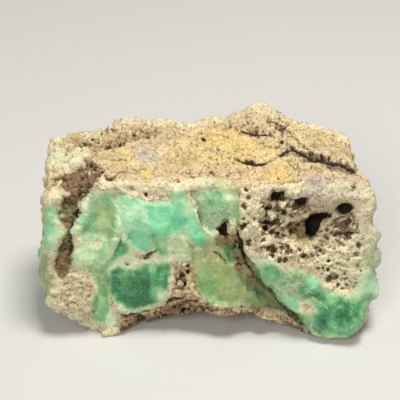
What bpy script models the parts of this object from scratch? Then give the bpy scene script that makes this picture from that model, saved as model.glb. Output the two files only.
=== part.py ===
"""A rough hand specimen of chrysoprase in its weathered host rock, as one closed solid.

Metres, +Z up. X runs along the stone, the broken show face looks towards -Y, and the origin is
on the resting plane below the middle of the stone.
"""

import math

import bmesh
import bpy
from mathutils import Matrix, Vector, noise

MM = 0.001

# Driving dimensions of the finished stone.
LENGTH = 108.0 * MM
DEPTH = 54.0 * MM
HEIGHT = 58.0 * MM

# The block that the facets are broken from, before its peak is added.
BLOCK_TOP = 52.5 * MM

# How much of the rough underside is cut flat to rest on.
FOOT_CUT = 0.9 * MM

# Surface quality. Each noise has the size of its bumps, then their height.
VOXEL = 0.9 * MM
TRIANGLES = 8200
COARSE_NOISE = (13.0 * MM, 0.9 * MM)
FINE_NOISE = (4.5 * MM, 0.45 * MM)
NOISE_SEED = Vector((3.1, 7.7, 1.3))
SHARP_EDGE = math.radians(35)
WELD = 1e-6

GREEN = (0.13, 0.42, 0.22, 1.0)
STONE_ROUGHNESS = 0.6

# The show face leans back: its Y at the foot in millimetres, and how far it goes back per
# millimetre of height.
FRONT_AT_FOOT = -24.5
FRONT_LEAN = 0.265

# Broken planes of the main block: a point on the plane in millimetres, and the way it faces.
BLOCK_FACETS = {
    "front": ((0, FRONT_AT_FOOT, 0), (0, -1, FRONT_LEAN)),
    "front_left_corner": ((-49.5, -17, 25), (-0.86, -0.50, 0.06)),
    "front_right_corner": ((48.5, -18.5, 25), (0.66, -0.75, 0.05)),
    "top": ((0, 0, 49.9), (0.01, -0.07, 1.0)),
    "top_left_ledge": ((-46, 4, 46.3), (-0.30, 0.02, 0.95)),
    "back": ((0, 25.5, 25), (0.02, 1.0, 0.03)),
    "back_left_corner": ((-38, 20.5, 25), (-0.30, 0.95, 0.05)),
    "back_right_corner": ((36, 20, 25), (0.66, 0.74, 0.12)),
    "back_foot": ((0, 23, 4), (0.05, 0.72, -0.69)),
    "left_flank": ((-51.5, 0, 32), (-0.985, 0.06, 0.16)),
    "left_foot": ((-47.6, 0, 5), (-0.80, -0.05, -0.60)),
    "right_flank": ((50.5, -6, 32), (0.965, 0.23, 0.12)),
    "right_foot": ((47.5, -8, 4), (0.78, -0.10, -0.62)),
}

# The raised slab and its peak at the back of the top face, broken from a block of their own.
SLAB_CORNERS = ((-4, -4, 40), (46, 27, 57))
SLAB_FACETS = {
    "slab_top": ((30, 12, 51.9), (0.04, -0.12, 1.0)),
    "slab_left": ((10, 10, 51), (-0.42, -0.30, 0.86)),
    "slab_front_left": ((20, 4.5, 51), (-0.22, -0.62, 0.75)),
    "slab_front_right": ((36, 1.5, 51), (0.22, -0.62, 0.75)),
    "slab_end": ((34, 18, 48), (0.66, 0.74, 0.14)),
    "slab_flank": ((44.5, 8, 48), (0.92, 0.30, 0.20)),
    "slab_back": ((16, 25.1, 48), (-0.03, 1.0, 0.06)),
}
PEAK_CORNERS = ((-8, 8, 40), (30, 28, 60))
PEAK_FACETS = {
    "peak_left": ((15.5, 25, 57.5), (-0.34, -0.20, 0.93)),
    "peak_right": ((16.5, 25, 57.5), (0.46, -0.20, 0.87)),
    "peak_front": ((16, 18, 55), (0.0, -0.42, 0.90)),
    "peak_back": ((16, 25.4, 50), (-0.04, 1.0, 0.06)),
}

# Hollows sunk in the show face: place along X and Z, half-axes, and depth, in millimetres.
FRONT_HOLLOWS = {
    "shield_scoop": ((-34.8, 34.5), (11.0, 20.0, 15.0), 2.4),
    "big_cavity": ((31.0, 35.5), (5.0, 9.0, 6.0), 8.0),
    "cavity_arm": ((34.6, 39.0), (5.5, 6.0, 2.6), 5.0),
    "right_hollow": ((41.0, 41.5), (5.5, 8.0, 3.6), 2.8),
    "upper_pit": ((20.2, 44.8), (3.0, 5.0, 2.4), 4.0),
    "upper_groove": ((27.6, 43.2), (3.8, 5.0, 2.2), 3.4),
    "middle_pit": ((17.0, 37.0), (3.2, 5.0, 4.2), 4.0),
    "lower_pit": ((19.0, 29.3), (3.2, 4.5, 2.4), 3.2),
    "centre_hole": ((4.3, 34.8), (3.2, 7.0, 3.2), 8.0),
    "window_cavity": ((-8.8, 17.6), (3.0, 4.5, 3.6), 3.0),
    "gully_middle": ((-43.0, 40.2), (4.4, 8.0, 6.4), 4.5),
    "gully_neck": ((-43.8, 34.5), (2.2, 6.0, 5.0), 4.0),
    "gully_lower": ((-45.4, 25.5), (3.2, 6.0, 8.0), 3.6),
}

# Hollows elsewhere: centre, half-axes in millimetres, and turn about X, Y and Z in degrees.
HOLLOWS = {
    "arch_middle": ((5.0, -20, -30.0), (42, 42, 38), (0, 0, 4)),
    "arch_back": ((-4.0, 4, -16.0), (24, 18, 20), (0, 0, -12)),
    "gully_head": ((-38.5, -6.5, 48.5), (4.5, 9, 5), (0, 20, 30)),
    "back_scoop": ((-14, 44, 34), (34, 22, 30), (0, 0, 0)),
    "back_low_scoop": ((22, 39, 14), (26, 17, 20), (0, 0, 0)),
    "left_scoop": ((-70, 6, 30), (20, 20, 24), (0, 0, 0)),
    "right_scoop": ((70, 6, 20), (20.5, 18, 22), (0, 0, 0)),
}

HOLLOW_SUBDIVISIONS = 4

# The sunken middle of the show face, seen from the front, as X and Z in millimetres. It gets
# deeper to the right, where its edge is the shadowed step under the overhanging mass.
RECESS_OUTLINE = (
    (-10.0, 30.5), (1.8, 33.5), (8.7, 33.5), (10.2, 27.0), (14.2, 20.6), (20.4, 13.9),
    (26.8, 6.3), (30.5, -3.0), (-16.0, -3.0), (-12.0, 12.0),
)
RECESS_DEPTH = 2.6 * MM
RECESS_TURN = 0.14
RECESS_REACH = 24.0 * MM

CUTTER_COLLECTION = "cutters"
PART_COLLECTION = "chrysoprase"
NODE = "chrysoprase_rough"


def clear_scene():
    """Removes whatever the scene holds."""
    for obj in list(bpy.data.objects):
        bpy.data.objects.remove(obj, do_unlink=True)


def new_collection(name):
    """A collection of this name, linked to the scene."""
    collection = bpy.data.collections.new(name)
    bpy.context.scene.collection.children.link(collection)
    return collection


def millimetres(values):
    """A vector in metres from three numbers in millimetres."""
    return Vector(values) * MM


def broken_block(name, low, high, facets, collection):
    """A box between two corners, cut down to the inside of its named facets."""
    mesh = bpy.data.meshes.new(name)
    body = bmesh.new()
    bmesh.ops.create_cube(body, size=1.0)
    size = high - low
    bmesh.ops.scale(body, vec=size, verts=body.verts)
    bmesh.ops.translate(body, vec=(low + high) / 2, verts=body.verts)
    for point, facing in facets.values():
        cut = bmesh.ops.bisect_plane(
            body,
            geom=body.verts[:] + body.edges[:] + body.faces[:],
            plane_co=millimetres(point),
            plane_no=Vector(facing).normalized(),
            clear_outer=True,
        )
        rim = [edge for edge in cut["geom_cut"] if isinstance(edge, bmesh.types.BMEdge)]
        bmesh.ops.contextual_create(body, geom=rim)
    bmesh.ops.recalc_face_normals(body, faces=body.faces)
    body.to_mesh(mesh)
    body.free()
    block = bpy.data.objects.new(name, mesh)
    collection.objects.link(block)
    return block


def as_cutter(obj):
    """Marks a helper, so that it shows as wire and in no render."""
    obj.hide_render = True
    obj.display_type = "WIRE"
    return obj


def front_y(height):
    """Where the show face stands at a height above the resting plane."""
    return FRONT_AT_FOOT * MM + FRONT_LEAN * height


def hollow_cutter(name, centre, half_axes, turn, collection):
    """An ellipsoid placed in metres and turned in the stone's own frame."""
    mesh = bpy.data.meshes.new(name)
    ball = bmesh.new()
    bmesh.ops.create_icosphere(ball, subdivisions=HOLLOW_SUBDIVISIONS, radius=1.0)
    bmesh.ops.scale(ball, vec=millimetres(half_axes), verts=ball.verts)
    ball.to_mesh(mesh)
    ball.free()
    cutter = bpy.data.objects.new(name, mesh)
    cutter.location = centre
    cutter.rotation_euler = [math.radians(angle) for angle in turn]
    collection.objects.link(cutter)
    return as_cutter(cutter)


def front_cutters(collection):
    """The ellipsoids of the show face, each reaching its own depth below the face."""
    lean = -math.degrees(math.atan(FRONT_LEAN))
    for name, (place, half_axes, depth) in FRONT_HOLLOWS.items():
        x, z = place[0] * MM, place[1] * MM
        y = front_y(z) + (depth - half_axes[1]) * MM
        yield hollow_cutter(name, Vector((x, y, z)), half_axes, (lean, 0, 0), collection)


def recess_cutter(collection):
    """A flat outline given thickness, laid against the leaning show face."""
    curve = bpy.data.curves.new("recess", "CURVE")
    curve.dimensions = "2D"
    curve.fill_mode = "BOTH"
    curve.extrude = RECESS_REACH / 2
    spline = curve.splines.new("POLY")
    spline.points.add(len(RECESS_OUTLINE) - 1)
    for point, (x, z) in zip(spline.points, RECESS_OUTLINE):
        point.co = (x * MM, z * MM, 0, 1)
    spline.use_cyclic_u = True
    outline = bpy.data.objects.new("recess_outline", curve)
    collection.objects.link(outline)
    mesh = evaluated_mesh(outline)
    bpy.data.objects.remove(outline, do_unlink=True)

    body = bmesh.new()
    body.from_mesh(mesh)
    bmesh.ops.remove_doubles(body, verts=body.verts, dist=WELD)
    upright = Matrix.Rotation(math.radians(90), 4, "X")
    bmesh.ops.transform(body, matrix=upright, verts=body.verts)
    for vert in body.verts:
        floor = RECESS_DEPTH + RECESS_TURN * vert.co.x
        vert.co.y += front_y(vert.co.z) + floor - RECESS_REACH / 2
    bmesh.ops.recalc_face_normals(body, faces=body.faces)
    body.to_mesh(mesh)
    body.free()
    cutter = bpy.data.objects.new("recess", mesh)
    collection.objects.link(cutter)
    return as_cutter(cutter)


def add_boolean(stone, helper, operation):
    """A Boolean modifier that joins or cuts the stone with a helper."""
    modifier = stone.modifiers.new(helper.name, "BOOLEAN")
    modifier.operation = operation
    modifier.object = helper
    modifier.solver = "EXACT"


def add_remesh(stone):
    """One even skin over the joined and hollowed blocks."""
    modifier = stone.modifiers.new("skin", "REMESH")
    modifier.mode = "VOXEL"
    modifier.voxel_size = VOXEL


def evaluated_mesh(obj):
    """The object's mesh with its modifiers applied, as a new mesh."""
    graph = bpy.context.evaluated_depsgraph_get()
    return bpy.data.meshes.new_from_object(obj.evaluated_get(graph), depsgraph=graph)


def roughen(body):
    """Moves every point along its normal by two sizes of broken-rock noise."""
    body.normal_update()
    shifts = []
    for vert in body.verts:
        shift = 0.0
        for size, height in (COARSE_NOISE, FINE_NOISE):
            shift += height * noise.noise(vert.co / size + NOISE_SEED)
        shifts.append(vert.normal * shift)
    for vert, shift in zip(body.verts, shifts):
        vert.co += shift


def decimated(mesh, collection):
    """The mesh brought down to the wanted number of triangles."""
    helper = bpy.data.objects.new("fine_skin", mesh)
    collection.objects.link(helper)
    as_cutter(helper)
    now = sum(len(face.vertices) - 2 for face in mesh.polygons)
    modifier = helper.modifiers.new("fewer_faces", "DECIMATE")
    modifier.ratio = min(1.0, TRIANGLES / now)
    modifier.use_collapse_triangulate = True
    return evaluated_mesh(helper)


def fit_box(body):
    """Scales and moves the stone to its driving dimensions, standing on the plane z = 0."""
    low = Vector([min(vert.co[axis] for vert in body.verts) for axis in range(3)])
    high = Vector([max(vert.co[axis] for vert in body.verts) for axis in range(3)])
    size = high - low
    centre = (low + high) / 2
    foot = Vector((centre.x, centre.y, low.z))
    scale = Vector((LENGTH / size.x, DEPTH / size.y, HEIGHT / size.z))
    matrix = Matrix.Diagonal(scale.to_4d()) @ Matrix.Translation(-foot)
    bmesh.ops.transform(body, matrix=matrix, verts=body.verts)


def flatten_feet(body, level):
    """Cuts the stone off flat at the given level, and closes the cut."""
    cut = bmesh.ops.bisect_plane(
        body,
        geom=body.verts[:] + body.edges[:] + body.faces[:],
        dist=WELD,
        plane_co=Vector((0, 0, level)),
        plane_no=Vector((0, 0, -1)),
        clear_outer=True,
    )
    rim = [edge for edge in cut["geom_cut"] if isinstance(edge, bmesh.types.BMEdge)]
    bmesh.ops.triangle_fill(body, edges=rim, use_beauty=True, normal=Vector((0, 0, -1)))
    bmesh.ops.triangulate(body, faces=body.faces)
    bmesh.ops.recalc_face_normals(body, faces=body.faces)


def stone_material():
    """Waxy green chalcedony, the stone's leading colour."""
    material = bpy.data.materials.new("chrysoprase_green")
    material.use_nodes = True
    shader = material.node_tree.nodes["Principled BSDF"]
    shader.inputs["Base Color"].default_value = GREEN
    shader.inputs["Roughness"].default_value = STONE_ROUGHNESS
    shader.inputs["Metallic"].default_value = 0.0
    return material


def build_stone():
    """Breaks the blocks, hollows them, gives them a rock skin and cuts the feet flat."""
    part = new_collection(PART_COLLECTION)
    cutters = new_collection(CUTTER_COLLECTION)

    half = Vector((LENGTH / 2 + MM, DEPTH / 2 + MM, 0))
    low = Vector((-half.x, -half.y, -MM))
    high = Vector((half.x, half.y, BLOCK_TOP))
    block = as_cutter(broken_block("main_block", low, high, BLOCK_FACETS, cutters))

    for name, corners, facets in (
        ("slab_block", SLAB_CORNERS, SLAB_FACETS),
        ("peak_block", PEAK_CORNERS, PEAK_FACETS),
    ):
        low, high = (millimetres(corner) for corner in corners)
        add_boolean(block, as_cutter(broken_block(name, low, high, facets, cutters)), "UNION")

    add_boolean(block, recess_cutter(cutters), "DIFFERENCE")
    for cutter in front_cutters(cutters):
        add_boolean(block, cutter, "DIFFERENCE")
    for name, (centre, half_axes, turn) in HOLLOWS.items():
        cutter = hollow_cutter(name, millimetres(centre), half_axes, turn, cutters)
        add_boolean(block, cutter, "DIFFERENCE")
    add_remesh(block)
    skin = evaluated_mesh(block)

    body = bmesh.new()
    body.from_mesh(skin)
    roughen(body)
    fit_box(body)
    body.to_mesh(skin)
    body.free()

    mesh = decimated(skin, cutters)
    mesh.name = NODE
    body = bmesh.new()
    body.from_mesh(mesh)
    fit_box(body)
    flatten_feet(body, FOOT_CUT)
    fit_box(body)
    body.to_mesh(mesh)
    body.free()

    stone = bpy.data.objects.new(NODE, mesh)
    part.objects.link(stone)
    mesh.materials.append(stone_material())
    mesh.shade_smooth()
    mesh.set_sharp_from_angle(angle=SHARP_EDGE)
    return stone


clear_scene()
build_stone()
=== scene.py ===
"""The looks of a rough chrysoprase specimen: one fine rock skin, its finish, floor, light and camera.

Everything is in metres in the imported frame. The skin is a closed box lattice pressed onto broken
planes, hollowed, fitted to the stone's outline, and then worked over region by region. A place on
the faces that the camera sees is given as a pixel of the 400 x 400 photograph, and every depth and
height of relief is a real size in millimetres.
"""

from __future__ import annotations

import logging
import math
from dataclasses import dataclass, field, fields

import bpy
import numpy as np
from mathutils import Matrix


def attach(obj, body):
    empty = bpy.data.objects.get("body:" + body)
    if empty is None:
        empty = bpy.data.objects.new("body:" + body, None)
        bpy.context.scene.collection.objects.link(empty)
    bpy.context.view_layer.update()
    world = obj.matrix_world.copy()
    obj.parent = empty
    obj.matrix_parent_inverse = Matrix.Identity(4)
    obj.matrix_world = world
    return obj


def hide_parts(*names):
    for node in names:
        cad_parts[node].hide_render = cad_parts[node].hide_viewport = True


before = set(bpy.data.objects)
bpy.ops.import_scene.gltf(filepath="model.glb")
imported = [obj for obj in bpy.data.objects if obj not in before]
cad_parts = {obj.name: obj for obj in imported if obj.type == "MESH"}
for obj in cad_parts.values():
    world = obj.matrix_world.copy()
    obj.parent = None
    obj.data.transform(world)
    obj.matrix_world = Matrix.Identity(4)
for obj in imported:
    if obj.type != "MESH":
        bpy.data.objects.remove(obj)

MM = 0.001
NODE = "chrysoprase_rough"
BODY = "root"
FAR = 1e9  # in pixels, farther than any mark reaches
GROOVE_SIDE = 0.65  # the share of a groove's half width that slopes
SEEN_RAMP = (-0.02, 0.16)  # how far a point faces the camera, from unseen to seen
RELAX_SLIDE = 0.8  # the share of an evening move off the surface that is left out
# The black mask is painted shade in holes, cracks and crevices; this power keeps it to a mark's middle.
SHADE_GATHER = 2.5  # the power that keeps darkness to the middle of a mark

Pixel = tuple[float, float]
Place = tuple[float, float, float]
Colour = tuple[float, float, float]

log = logging.getLogger("chrysoprase")


def smooth_step(low: float, high: float, value: np.ndarray) -> np.ndarray:
    """An S-shaped ramp from 0 at low to 1 at high: 3t^2 - 2t^3.

    Args:
        low: value where the ramp starts.
        high: value where it ends, which may be below low.
        value: the numbers to ramp.

    Returns:
        Numbers from 0 to 1.
    """
    t = np.clip((value - low) / (high - low), 0.0, 1.0)
    return t * t * (3.0 - 2.0 * t)


@dataclass(frozen=True)
class Cells:
    """What cell noise says at each point: gaps to seeds, the seed's number and a random slope."""

    near: np.ndarray
    second: np.ndarray
    own: np.ndarray
    tilt: np.ndarray


@dataclass(frozen=True)
class Grain:
    """Seeded noise in space, worked out for whole arrays of points at once."""

    seed: int

    def hashed(self, cells: np.ndarray, channel: int) -> np.ndarray:
        """A repeatable number from -1 to 1 for each whole-number cell.

        Args:
            cells: whole numbers, with X, Y and Z last.
            channel: picks one of several independent numbers.

        Returns:
            One number for each cell.
        """
        mixed = cells[..., 0] * 73856093 ^ cells[..., 1] * 19349663 ^ cells[..., 2] * 83492791
        mixed = (mixed ^ (self.seed * 2654435761 + channel * 40503)) & 0xFFFFFFFF
        for _ in range(2):
            mixed = ((mixed ^ (mixed >> 16)) * 0x45D9F3B) & 0xFFFFFFFF
        mixed = mixed ^ (mixed >> 16)
        return (mixed & 0xFFFFFF) / float(0x7FFFFF) - 1.0

    def smooth(self, points: np.ndarray) -> np.ndarray:
        """Gradient noise: slopes at the cell corners, blended by a quintic in each direction.

        Args:
            points: places in cell units, one row each.

        Returns:
            About -1 to 1 for each point.
        """
        cell = np.floor(points).astype(np.int64)
        part = points - cell
        fade = part**3 * (part * (part * 6.0 - 15.0) + 10.0)
        total = np.zeros(len(points))
        for corner in np.ndindex(2, 2, 2):
            at = np.array(corner)
            weight = np.prod(np.where(at == 1, fade, 1.0 - fade), axis=1)
            away = part - at
            slope = sum(self.hashed(cell + at, axis) * away[:, axis] for axis in range(3))
            total += weight * slope
        return total * 1.5

    def fractal(self, points: np.ndarray, size: float, octaves: int = 3) -> np.ndarray:
        """A sum of gradient noises, each half the size and half the strength of the last.

        Args:
            points: places in metres.
            size: size of the largest bumps in millimetres.
            octaves: how many sizes are summed.

        Returns:
            About -1 to 1 for each point.
        """
        total = np.zeros(len(points))
        for octave in range(octaves):
            scaled = points * (2.0**octave / (size * MM)) + 17.3 * octave
            total += self.smooth(scaled) * 0.5**octave
        return total

    def cells(self, points: np.ndarray, size: float) -> Cells:
        """Distances to scattered seeds, one in each cell.

        Args:
            points: places in metres.
            size: the cell's side in millimetres.

        Returns:
            Gaps in cell sides, the nearest seed's number, and a random plane through that seed.
        """
        scaled = points / (size * MM)
        cell = np.floor(scaled).astype(np.int64)
        near = np.full(len(points), 9.0)
        second = np.full(len(points), 9.0)
        own = np.zeros(len(points))
        tilt = np.zeros(len(points))
        for step in np.ndindex(3, 3, 3):
            home = cell + np.array(step) - 1
            seed = np.stack([self.hashed(home, axis) * 0.5 + 0.5 for axis in range(3)], axis=1)
            away = scaled - home - seed
            gap = np.linalg.norm(away, axis=1)
            closer = gap < near
            second = np.where(closer, near, np.minimum(second, gap))
            number = self.hashed(home, 3)
            own = np.where(closer, number, own)
            slope = away[:, 0] * number + away[:, 1] * self.hashed(home, 4)
            tilt = np.where(closer, slope + away[:, 2] * self.hashed(home, 5), tilt)
            near = np.where(closer, gap, near)
        return Cells(near, second, own, tilt)


@dataclass(frozen=True)
class PhotoView:
    """Where the photograph was taken from, as a pinhole camera."""

    elevation: float = 34.0
    lens: float = 100.0
    sensor: float = 36.0
    distance: float = 0.3475
    aim: Place = (-0.00297, 0.0, 0.0358)
    side: int = 400

    @property
    def right(self) -> np.ndarray:
        """The picture's right-hand direction."""
        return np.array([1.0, 0.0, 0.0])

    @property
    def up(self) -> np.ndarray:
        """The picture's upward direction."""
        tilt = math.radians(self.elevation)
        return np.array([0.0, math.sin(tilt), math.cos(tilt)])

    @property
    def forward(self) -> np.ndarray:
        """The direction the camera looks in."""
        tilt = math.radians(self.elevation)
        return np.array([0.0, math.cos(tilt), -math.sin(tilt)])

    @property
    def eye(self) -> np.ndarray:
        """The camera's place."""
        return np.array(self.aim) - self.forward * self.distance

    @property
    def focal(self) -> float:
        """The focal length in pixels."""
        return self.side * self.lens / self.sensor

    def sight(self, points: np.ndarray) -> np.ndarray:
        """Unit vectors from the camera to each point."""
        away = points - self.eye
        return away / np.linalg.norm(away, axis=1, keepdims=True)

    def project(self, points: np.ndarray) -> tuple[np.ndarray, np.ndarray]:
        """Pixels where points show, and how far along the view they are.

        Args:
            points: places in metres.

        Returns:
            Pixel columns and rows, and depths in metres.
        """
        away = points - self.eye
        depth = away @ self.forward
        across = self.side / 2 + self.focal * (away @ self.right) / depth
        down = self.side / 2 - self.focal * (away @ self.up) / depth
        return np.stack([across, down], axis=1), depth

    def lift(self, pixels: np.ndarray, depth: np.ndarray) -> np.ndarray:
        """The places in space that show at these pixels at these depths.

        Args:
            pixels: pixel columns and rows.
            depth: depths along the view in metres.

        Returns:
            Places in metres.
        """
        across = (pixels[:, 0] - self.side / 2) / self.focal * depth
        upward = (self.side / 2 - pixels[:, 1]) / self.focal * depth
        offset = np.outer(across, self.right) + np.outer(upward, self.up)
        return self.eye + offset + np.outer(depth, self.forward)

    def place_camera(self) -> None:
        """Makes the camera and hands it to the scene."""
        data = bpy.data.cameras.new("photo_camera")
        data.lens = self.lens
        data.sensor_width = self.sensor
        data.clip_start = 0.01
        data.clip_end = 50.0
        camera = bpy.data.objects.new("photo_camera", data)
        camera.location = self.eye
        camera.rotation_euler = (math.radians(90.0 - self.elevation), 0.0, 0.0)
        bpy.context.scene.collection.objects.link(camera)
        bpy.context.scene.camera = camera


@dataclass(frozen=True, kw_only=True)
class Tint:
    """What a place is made of, mostly from 0 to 1. A value left out stays as it was.

    green is chrysoprase against host rock, tone runs from pale mint to emerald, aqua from olive
    at -1 to blue-green at 1, milk is white clouding, the mask for black is painted shade that
    blackens holes, cracks and crevices, and the rest are stains of the host rock, though brown is
    also laid as painted shade in some hollows.
    A value a little outside 0 to 1 pulls harder against what the place had before.
    """

    green: float | None = None
    tone: float | None = None
    aqua: float | None = None
    milk: float | None = None
    pale: float | None = None
    ochre: float | None = None
    brown: float | None = None
    grey: float | None = None
    # painted shade: near black in holes, cracks and crevices
    dark: float | None = None
    porous: float | None = None


@dataclass
class Skin:
    """The stone's surface as arrays of points, faces and masks."""

    points: np.ndarray
    quads: np.ndarray
    view: PhotoView
    normals: np.ndarray = field(init=False)
    pixels: np.ndarray = field(init=False)
    depth: np.ndarray = field(init=False)
    seen: np.ndarray = field(init=False)
    push: np.ndarray = field(init=False)
    sink: np.ndarray = field(init=False)
    masks: dict[str, np.ndarray] = field(init=False)

    def __post_init__(self) -> None:
        """Starts with flat relief and empty masks."""
        count = len(self.points)
        self.push = np.zeros(count)
        self.sink = np.zeros(count)
        self.masks = {entry.name: np.zeros(count) for entry in fields(Tint)}
        self.refresh()

    def refresh(self) -> None:
        """Works out normals, pixels and which points the camera sees, for the present shape.

        A point's normal is the sum of its quads' diagonal cross products, made unit length.
        """
        corners = self.points[self.quads]
        faces = np.cross(corners[:, 2] - corners[:, 0], corners[:, 3] - corners[:, 1])
        total = np.zeros_like(self.points)
        for axis in range(3):
            spread = np.repeat(faces[:, axis], 4)
            total[:, axis] = np.bincount(self.quads.ravel(), spread, len(self.points))
        self.normals = total / np.maximum(np.linalg.norm(total, axis=1, keepdims=True), 1e-12)
        self.pixels, self.depth = self.view.project(self.points)
        facing = -np.sum(self.normals * self.view.sight(self.points), axis=1)
        self.seen = smooth_step(*SEEN_RAMP, facing)

    def press(self) -> None:
        """Applies the relief: push moves points along the line of sight, sink along normals."""
        self.points = self.points + self.view.sight(self.points) * self.push[:, None]
        self.points = self.points - self.normals * self.sink[:, None]
        self.push = np.zeros(len(self.points))
        self.sink = np.zeros(len(self.points))
        self.refresh()

    def hollowness(self, rounds: int) -> np.ndarray:
        """How deep each point lies below its surroundings.

        The skin is evened out by moving every point to the mean of its quads' middles, again
        and again. What a point has moved outwards by then is its depth.

        Args:
            rounds: how often the skin is evened out, so how wide the surroundings are.

        Returns:
            Depths in millimetres, below 0 on ridges.
        """
        return np.sum((self.even_places(rounds) - self.points) * self.normals, axis=1) / MM

    def even_places(self, rounds: int) -> np.ndarray:
        """Where the points lie once the skin has been evened out so many times."""
        return np.stack([self.evened(self.points[:, axis], rounds) for axis in range(3)], axis=1)

    def relax(self, rounds: int) -> None:
        """Spreads the points evenly over stretched walls, moving them only along the surface.

        Args:
            rounds: how often each point moves towards the mean of its surroundings.
        """
        for _ in range(rounds):
            move = self.even_places(1) - self.points
            outward = np.sum(move * self.normals, axis=1, keepdims=True)
            self.points = self.points + (move - self.normals * outward * RELAX_SLIDE) * self.seen[:, None]
            self.refresh()

    def evened(self, values: np.ndarray, rounds: int) -> np.ndarray:
        """Values spread out over the skin: each round takes the mean of the quads round a point.

        Args:
            values: one number for each point.
            rounds: how often the mean is taken.

        Returns:
            The smoother numbers.
        """
        corners = self.quads.ravel()
        shared = np.bincount(corners, minlength=len(values))
        for _ in range(rounds):
            middles = np.repeat(values[self.quads].mean(axis=1), 4)
            values = np.bincount(corners, middles, len(values)) / shared
        return values

    def blend_masks(self, rounds: dict[str, int]) -> None:
        """Lets each mask's drawn borders run softly into each other.

        Args:
            rounds: how far each named mask spreads.
        """
        for name, count in rounds.items():
            self.masks[name] = self.evened(self.masks[name], count)

    def paint(self, tint: Tint, weight: np.ndarray, rows: np.ndarray | slice = slice(None)) -> None:
        """Moves the masks towards a tint where the weight says so. Darkness keeps to the middle.

        Args:
            tint: the values to move to.
            weight: 0 to 1 for each of the rows.
            rows: the points to paint.
        """
        for entry in fields(Tint):
            value = getattr(tint, entry.name)
            if value is not None:
                mask = self.masks[entry.name]
                # painted shade, the black mask, is gathered to the middle of each mark
                share = weight**SHADE_GATHER if entry.name == "dark" else weight
                mask[rows] += (value - mask[rows]) * share


@dataclass(frozen=True)
class Facet:
    """A broken plane: a point on it in millimetres, and the way it faces."""

    point: Place
    facing: Place


@dataclass(frozen=True)
class Hollow:
    """An ellipsoid taken out of the stone: centre and half-axes in millimetres."""

    centre: Place
    axes: Place
    rim: float = 0.03

    def carve(self, points: np.ndarray) -> np.ndarray:
        """Moves points inside the ellipsoid out to its surface, with a softened rim.

        In the ellipsoid's own units a point at radius r goes to the smooth maximum of r and 1.

        Args:
            points: places in metres.

        Returns:
            The moved places.
        """
        centre = np.array(self.centre) * MM
        axes = np.array(self.axes) * MM
        unit = (points - centre) / axes
        radius = np.maximum(np.linalg.norm(unit, axis=1), 1e-9)
        edge = radius - 1.0
        moved = 1.0 + 0.5 * (edge + np.sqrt(edge**2 + self.rim**2))
        return centre + unit * (moved / radius)[:, None] * axes


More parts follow.
